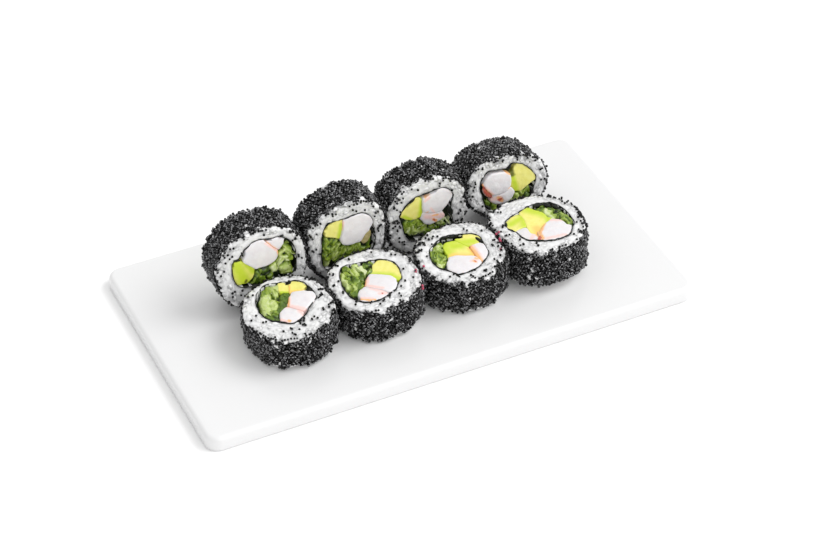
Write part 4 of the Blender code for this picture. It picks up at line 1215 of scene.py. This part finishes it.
# Folds of leaf: place in the face, half sizes across and along, heading in degrees, and paleness
LEAVES = {
    "front_1": (
        (-9.0, 5.6, 2.9, 6.2, 82, 1.02), (-6.0, 4.0, 2.2, 5.8, 70, 0.96), (-7.2, 11.4, 2.5, 3.4, 60, 1.00),
        (-6.8, 14.6, 1.5, 3.4, 58, 0.62), (-3.6, 16.4, 1.6, 3.0, 72, 0.85), (-1.0, 14.6, 1.8, 3.6, 78, 0.98),
        (1.2, 15.6, 1.1, 2.4, 85, 1.00), (0.8, 6.0, 2.6, 6.0, 60, 0.52), (-10.2, -2.2, 1.3, 3.0, 112, 0.55), (-7.2, -0.4, 1.7, 3.4, 62, 0.62),
        (-8.2, -4.6, 1.2, 2.2, 120, 0.40), (-4.4, 0.6, 1.2, 2.6, 40, 0.50),
    ),
    "front_2": (
        (-13.0, 8.8, 1.3, 3.6, 80, 0.90), (-9.4, 13.0, 1.4, 2.6, 100, 0.62), (-10.4, 10.4, 1.5, 2.2, 90, 0.85),
        (-6.6, 9.6, 1.7, 4.2, 76, 0.98), (-4.8, 12.6, 1.3, 2.2, 80, 0.85), (-2.4, 8.8, 1.7, 3.6, 96, 1.12),
        (-14.0, 3.0, 1.2, 3.6, 95, 1.00), (-11.6, 4.0, 1.2, 3.0, 80, 0.55), (-11.8, -0.4, 1.5, 3.0, 85, 0.88),
        (-8.4, 3.8, 1.9, 3.6, 72, 0.62), (-5.0, 5.2, 1.6, 3.2, 62, 0.66), (-12.6, -4.2, 1.6, 2.2, 60, 0.66),
        (-8.6, -1.2, 1.7, 2.2, 30, 0.60), (0.6, 11.4, 1.7, 1.7, 0, 0.45), (0.4, 6.6, 1.4, 2.4, 70, 0.58),
        (3.2, 11.4, 1.6, 0.9, 20, 0.72), (6.3, -7.0, 0.6, 0.9, 30, 0.60),
    ),
    "front_3": (
        (-12.2, 6.0, 1.7, 3.2, 60, 0.60), (-9.4, 4.0, 1.6, 3.6, 70, 0.72), (-8.0, 8.2, 1.7, 2.4, 95, 0.95),
        (-13.4, 1.4, 1.2, 3.6, 95, 0.66), (-10.8, 0.0, 1.5, 2.8, 60, 0.90), (-8.2, 1.6, 1.1, 2.4, 80, 0.80),
        (-13.0, -4.0, 1.5, 2.2, 70, 1.00), (-10.2, -3.2, 0.9, 2.4, 60, 0.95), (-6.2, 11.0, 1.2, 1.6, 60, 0.70),
    ),
    "front_4": (
        (7.9, 6.6, 1.4, 4.4, 100, 0.98), (7.2, 2.0, 1.3, 3.4, 100, 0.95), (9.6, 4.0, 1.1, 4.0, 95, 0.80),
        (4.8, 11.0, 1.5, 1.8, 45, 0.62), (7.0, 11.4, 1.9, 1.4, 150, 0.50), (10.8, 9.4, 1.5, 2.4, 70, 0.42),
        (13.0, 4.8, 1.2, 3.0, 100, 0.36), (13.2, 0.6, 1.4, 3.2, 95, 0.78), (14.6, -3.0, 1.0, 3.8, 92, 0.74),
        (12.4, -5.4, 1.1, 3.0, 96, 0.80), (11.2, 1.4, 1.0, 2.6, 95, 0.40),
    ),
    "back_1": (
        (13.8, 7.4, 1.7, 3.4, 110, 0.82), (15.4, 3.2, 1.3, 3.0, 95, 0.70), (11.4, 5.4, 1.4, 2.6, 60, 0.95),
        (13.6, 1.2, 1.9, 1.8, 0, 1.12), (10.4, 1.6, 1.7, 2.2, 45, 1.05), (6.8, -2.4, 2.3, 2.6, 60, 0.98),
        (12.8, -4.2, 3.0, 2.7, 0, 0.90), (2.0, -2.4, 2.3, 2.2, 0, 0.25), (-1.4, -2.6, 1.3, 2.6, 120, 0.55),
        (-3.6, -6.0, 1.7, 1.8, 30, 0.60), (0.0, -6.6, 2.2, 1.5, 0, 0.55), (4.0, -6.4, 2.2, 1.4, 0, 0.65),
    ),
    "back_2": (
        (-10.8, 2.6, 1.7, 2.8, 100, 0.75), (-7.0, 1.0, 1.8, 2.4, 60, 0.72), (-10.4, -2.6, 1.7, 3.2, 95, 0.75),
        (-5.8, -3.2, 2.2, 3.2, 62, 0.82), (-11.2, -7.6, 1.6, 3.2, 100, 0.72), (-6.8, -8.2, 2.3, 2.6, 70, 0.85),
        (-1.6, -6.2, 1.7, 2.8, 60, 0.80), (2.8, -6.4, 1.6, 2.6, 50, 0.76), (6.2, -6.6, 1.5, 2.6, 60, 0.72),
        (9.0, -9.0, 1.8, 2.0, 0, 0.60), (12.0, -6.6, 1.2, 3.4, 90, 0.52), (-11.0, -11.6, 1.5, 1.8, 0, 0.95),
        (1.2, -10.4, 2.6, 2.2, 0, 0.60), (-3.6, -11.6, 2.2, 2.2, 0, 0.62),
    ),
    "back_3": (
        (-10.4, -3.0, 2.1, 3.0, 60, 0.68), (-9.4, -6.8, 2.3, 3.6, 110, 0.98), (-5.6, -4.2, 2.1, 3.2, 130, 0.72),
        (-6.2, -9.2, 2.3, 2.8, 120, 0.82), (-1.6, -9.0, 2.5, 1.9, 0, 0.82), (3.0, -8.8, 2.3, 1.6, 0, 0.78),
        (7.6, -7.8, 1.9, 1.5, 150, 1.00), (11.4, -8.2, 0.7, 3.4, 126, 1.25), (9.0, -10.4, 1.5, 1.3, 0, 0.50),
        (0.0, -12.2, 3.2, 1.7, 0, 0.50), (5.0, -11.6, 2.3, 1.5, 0, 0.48),
    ),
    "back_4": (
        (8.4, -6.0, 1.5, 2.4, 110, 0.88), (11.2, -4.8, 1.6, 1.9, 50, 0.80), (5.2, -7.4, 1.6, 2.2, 100, 0.82),
        (1.4, -10.2, 1.4, 2.6, 95, 0.92), (-3.2, -10.8, 1.2, 2.6, 90, 0.76), (-8.0, -10.4, 1.2, 2.6, 70, 0.80),
        (-11.6, -7.6, 1.0, 2.2, 110, 0.50), (11.0, -8.6, 1.4, 1.8, 60, 0.42), (5.6, -10.6, 1.3, 2.6, 90, 0.70),
    ),
}


# How much darker than their paleness the leaves are, and pieces with smoother leaves
LEAF_SHADE = 0.15
LEAF_MIDDLE = 0.75
LEAF_CONTRAST = 1.35
LEAF_CRUMPLE = {"front_1": 0.45}


def leaf_at(piece, x, y, end):
    """Height and tone of the crumpled leaves at a point of one face.

    Each fold is a flat-topped mound with a warped outline.  The nearest fold gives the tone, and
    between folds the leaves fall away into painted shade; the creases bring painted light and shade too.
    """
    seed = piece.number + 40.0 * end
    crumple = LEAF_CRUMPLE.get(piece.name, 1.0)
    wx = x + crumple * (1.6 * uneven(x, y, end, 3.0, seed + 11.0) + 0.15 * uneven(x, y, end, 1.0, seed + 12.0))
    wy = y + crumple * (1.6 * uneven(x, y, end, 3.0, seed + 13.0) + 0.15 * uneven(x, y, end, 1.0, seed + 14.0))
    best, rib, tone = -0.5, 0.0, LEAF_PALENESS[piece.name] - 0.1
    for number, (fx, fy, across, along, heading, paleness) in enumerate(LEAVES[piece.name]):
        dx, dy = wx - fx, wy - fy
        turn = math.radians(heading)
        v = (dx * math.cos(turn) + dy * math.sin(turn)) / (1.12 * along)
        u = (dy * math.cos(turn) - dx * math.sin(turn)) / (1.12 * across)
        share = 1.0 - abs(u) ** 3.2 - abs(v) ** 3.2
        if share > best:
            best, tone = share, paleness
            rib = creased(u * across, 0.25 * v * along, 0.7 * number, 1.7, seed)
    mound = best ** 0.45 if best > 0.0 else best
    height = 1.9 * mound - 0.5 + crumple * (0.45 * rib + 0.1 * uneven(x, y, end, 1.6, seed + 15.0))
    # Painted light and shade: the tone is lighter on the creases' ridges and darker in the creases, and darker still
    # where the leaves fall away between folds.
    shade = crumple * (0.32 * rib + 0.08 * uneven(x, y, end, 1.3, seed + 16.0)) + min(0.0, 1.1 * (best - 0.35))
    return height, LEAF_MIDDLE + LEAF_CONTRAST * (tone - LEAF_MIDDLE) - LEAF_SHADE + shade


def add_greens(piece, rng):
    """Crumpled leaves across the whole opening, and thin edges of leaf that stand out of them."""
    greens = piece.fillings["greens"]
    bed = Outline(piece.opening.middle, piece.opening.radii - 0.05, greens.low + 1.5, greens.high - 1.5)
    rings = 34
    mesh = unit_plug(200, rings, 3)
    shape_plug(mesh, bed, rings, 0.3, lambda x, y, end: leaf_at(piece, x, y, end)[0])
    add_share(mesh, "tone", lambda vertex: leaf_at(piece, vertex.co.x, vertex.co.y, 1.0 if vertex.co.z > 0.0 else -1.0)[1])
    data = mesh_from(mesh, piece.name + ".greens_bed", piece.to_world)
    add_piece(piece.name + ".greens_bed", data, "greens", "greens", (piece.name + ".greens",))
    whole = bmesh.new()
    for end in ((1, -1) if piece.standing else (1,)):
        for x, y in leaf_spots(piece, rng):
            rise, tone = leaf_at(piece, x, y, float(end))
            scrap = make_scrap(tone, rng)
            level = (greens.high if end > 0 else greens.low) - end * (1.5 - rise + 0.7)
            heading = math.radians(80.0) + rng.normal(0.0, 0.5)
            turn = Matrix.Rotation(heading, 4, "Z") @ Matrix.Rotation(rng.normal(0.0, 0.5), 4, "X")
            scrap.transform(Matrix.Translation((x, y, level)) @ turn)
            join_into(whole, scrap)
    keep_inside(whole, piece, greens)
    data = mesh_from(whole, piece.name + ".greens_folds", piece.to_world)
    add_piece(piece.name + ".greens_folds", data, "greens", "greens")


def leaf_spots(piece, rng):
    """Spots in the opening, clear of the firmer fillings and of each other."""
    firm = [piece.pressed_outlines[part] for part in piece.fillings if part != "greens"]
    spots = []
    reach = float(piece.opening.radii.max())
    for _ in range(500):
        x = piece.opening.middle[0] + rng.uniform(-reach, reach)
        y = piece.opening.middle[1] + rng.uniform(-reach, reach)
        if piece.opening.beyond(x, y) > -1.6 or any(outline.beyond(x, y) < 1.2 for outline in firm):
            continue
        if all((x - other[0]) ** 2 + (y - other[1]) ** 2 > 9.0 for other in spots):
            spots.append((x, y))
    return spots


def keep_inside(mesh, piece, greens):
    """Pulls leaves in from the seaweed and to the level of the leaves on both faces."""
    for vertex in mesh.verts:
        dx = vertex.co.x - piece.opening.middle[0]
        dy = vertex.co.y - piece.opening.middle[1]
        reach = math.hypot(dx, dy)
        limit = float(piece.opening.radius(math.atan2(dy, dx))) - 0.1
        if reach > limit:
            vertex.co.x = piece.opening.middle[0] + dx * limit / reach
            vertex.co.y = piece.opening.middle[1] + dy * limit / reach
        vertex.co.z = min(max(vertex.co.z, greens.low - 0.5), greens.high + 0.5)


def make_scrap(pale, rng):
    """A leaf on edge: curled, ruffled and as thick as wet leaf."""
    mesh = bmesh.new()
    bmesh.ops.create_grid(mesh, x_segments=12, y_segments=5, size=0.5)
    seed = rng.uniform(0.0, 90.0)
    length, depth = rng.uniform(4.0, 6.0), rng.uniform(2.0, 2.8)
    curl = rng.uniform(-1.2, 1.2)
    own_tone = pale + rng.normal(0.0, 0.15)
    tone = mesh.verts.layers.float.new("tone")
    for vertex in mesh.verts:
        along, up = vertex.co.x, vertex.co.y
        ruffle = 1.0 * uneven(3.0 * along, 2.0 * up, 0.0, 1.0, seed) * (0.6 + up) + curl * along * along * 4.0
        vertex[tone] = own_tone + 0.25 * uneven(2.5 * along, 2.0 * up, 3.0, 1.0, seed)
        vertex.co = (length * along, ruffle, depth * up + 0.35 * uneven(3.0 * along, 0.0, 7.0, 1.0, seed))
    bmesh.ops.solidify(mesh, geom=mesh.faces[:], thickness=rng.uniform(0.35, 0.6))
    return mesh


def add_plate():
    """The plate: a slab with round corners, its edges eased all round."""
    low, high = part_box("plate")
    mesh = bmesh.new()
    bmesh.ops.create_cube(mesh, size=1.0)
    bmesh.ops.scale(mesh, vec=high - low, verts=mesh.verts[:])
    bmesh.ops.translate(mesh, vec=(low + high) / 2, verts=mesh.verts[:])
    upright = [edge for edge in mesh.edges if abs(edge.verts[0].co.z - edge.verts[1].co.z) > MM]
    bmesh.ops.bevel(mesh, geom=upright, offset=7.0 * MM, segments=14, affect="EDGES", profile=0.5, material=-1)
    brim = [edge for edge in mesh.edges if min(vertex.co.z for vertex in edge.verts) > high.z - MM * 0.1]
    bmesh.ops.bevel(mesh, geom=brim, offset=2.5 * MM, segments=6, affect="EDGES", profile=0.5, material=-1)
    foot = [edge for edge in mesh.edges if max(vertex.co.z for vertex in edge.verts) < low.z + MM * 0.1]
    bmesh.ops.bevel(mesh, geom=foot, offset=0.5 * MM, segments=2, affect="EDGES", profile=0.5, material=-1)
    data = mesh_from(mesh, "plate_slab")
    piece = add_piece("plate_slab", data, "porcelain", "porcelain", ("plate",))
    data.set_sharp_from_angle(angle=math.radians(35))
    return piece


# ---------------------------------------------------------------- floor, light and camera

def add_floor():
    mesh = bmesh.new()
    bmesh.ops.create_grid(mesh, x_segments=1, y_segments=1, size=6.0)
    bmesh.ops.translate(mesh, verts=mesh.verts[:], vec=(0, 0, CAD_BOUNDS[0][2] - 0.0002))
    data = mesh_from(mesh, "floor")
    data.materials.append(FINISHES["floor"])
    floor = bpy.data.objects.new("floor", data)
    bpy.context.scene.collection.objects.link(floor)


def add_sun(name, towards, strength, width):
    """Soft even light from one side; width is how wide its source looks, in degrees."""
    light = bpy.data.lights.new(name, "SUN")
    light.energy = strength
    light.angle = math.radians(width)
    lamp = bpy.data.objects.new(name, light)
    lamp.rotation_euler = (-Vector(towards)).to_track_quat("-Z", "Y").to_euler()
    bpy.context.scene.collection.objects.link(lamp)


def add_lights():
    world = bpy.data.worlds.new("white studio")
    bpy.context.scene.world = world
    world.use_nodes = True
    fill(world.node_tree.nodes["Background"], Color=(1.0, 1.0, 1.0, 1.0), Strength=0.84)
    add_sun("key", (0.85, -0.25, 1.0), 1.45, 38.0)
    add_sun("front fill", (0.3, -1.0, 0.8), 0.5, 60.0)


def add_camera():
    camera = bpy.data.cameras.new("camera")
    camera.sensor_width = 36.0
    camera.lens = 112.6
    camera.clip_start = 0.05
    item = bpy.data.objects.new("camera", camera)
    item.location = (-0.4180, -0.8905, 0.8310)
    aim = Vector((0.0110, 0.0079, 0.0)) - item.location
    item.rotation_euler = aim.to_track_quat("-Z", "Y").to_euler()
    bpy.context.scene.collection.objects.link(item)
    bpy.context.scene.camera = item


def main():
    bpy.context.scene.view_settings.view_transform = "Standard"
    add_plate()
    names = sorted({key.split(".")[0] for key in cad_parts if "." in key})
    for number, name in enumerate(names):
        rng = np.random.default_rng(100 + number)
        piece = Slice(name, number)
        piece.wall_grains = choose_wall_grains(piece, rng)
        piece.pressed_outlines = {part: piece.pressed(part) for part in piece.fillings}
        add_roe_bed(piece)
        add_roe(piece, rng)
        add_rice_bed(piece)
        add_grains(piece, rng)
        if name in RED_BEADS:
            add_red_beads(piece, rng)
        add_seaweed(piece)
        add_seaweed_folds(piece)
        if name in SKINS:
            add_skins(piece)
        add_greens(piece, rng)
        for part in piece.fillings:
            if part != "greens":
                add_filling(piece, part)
    add_floor()
    add_lights()
    add_camera()


main()
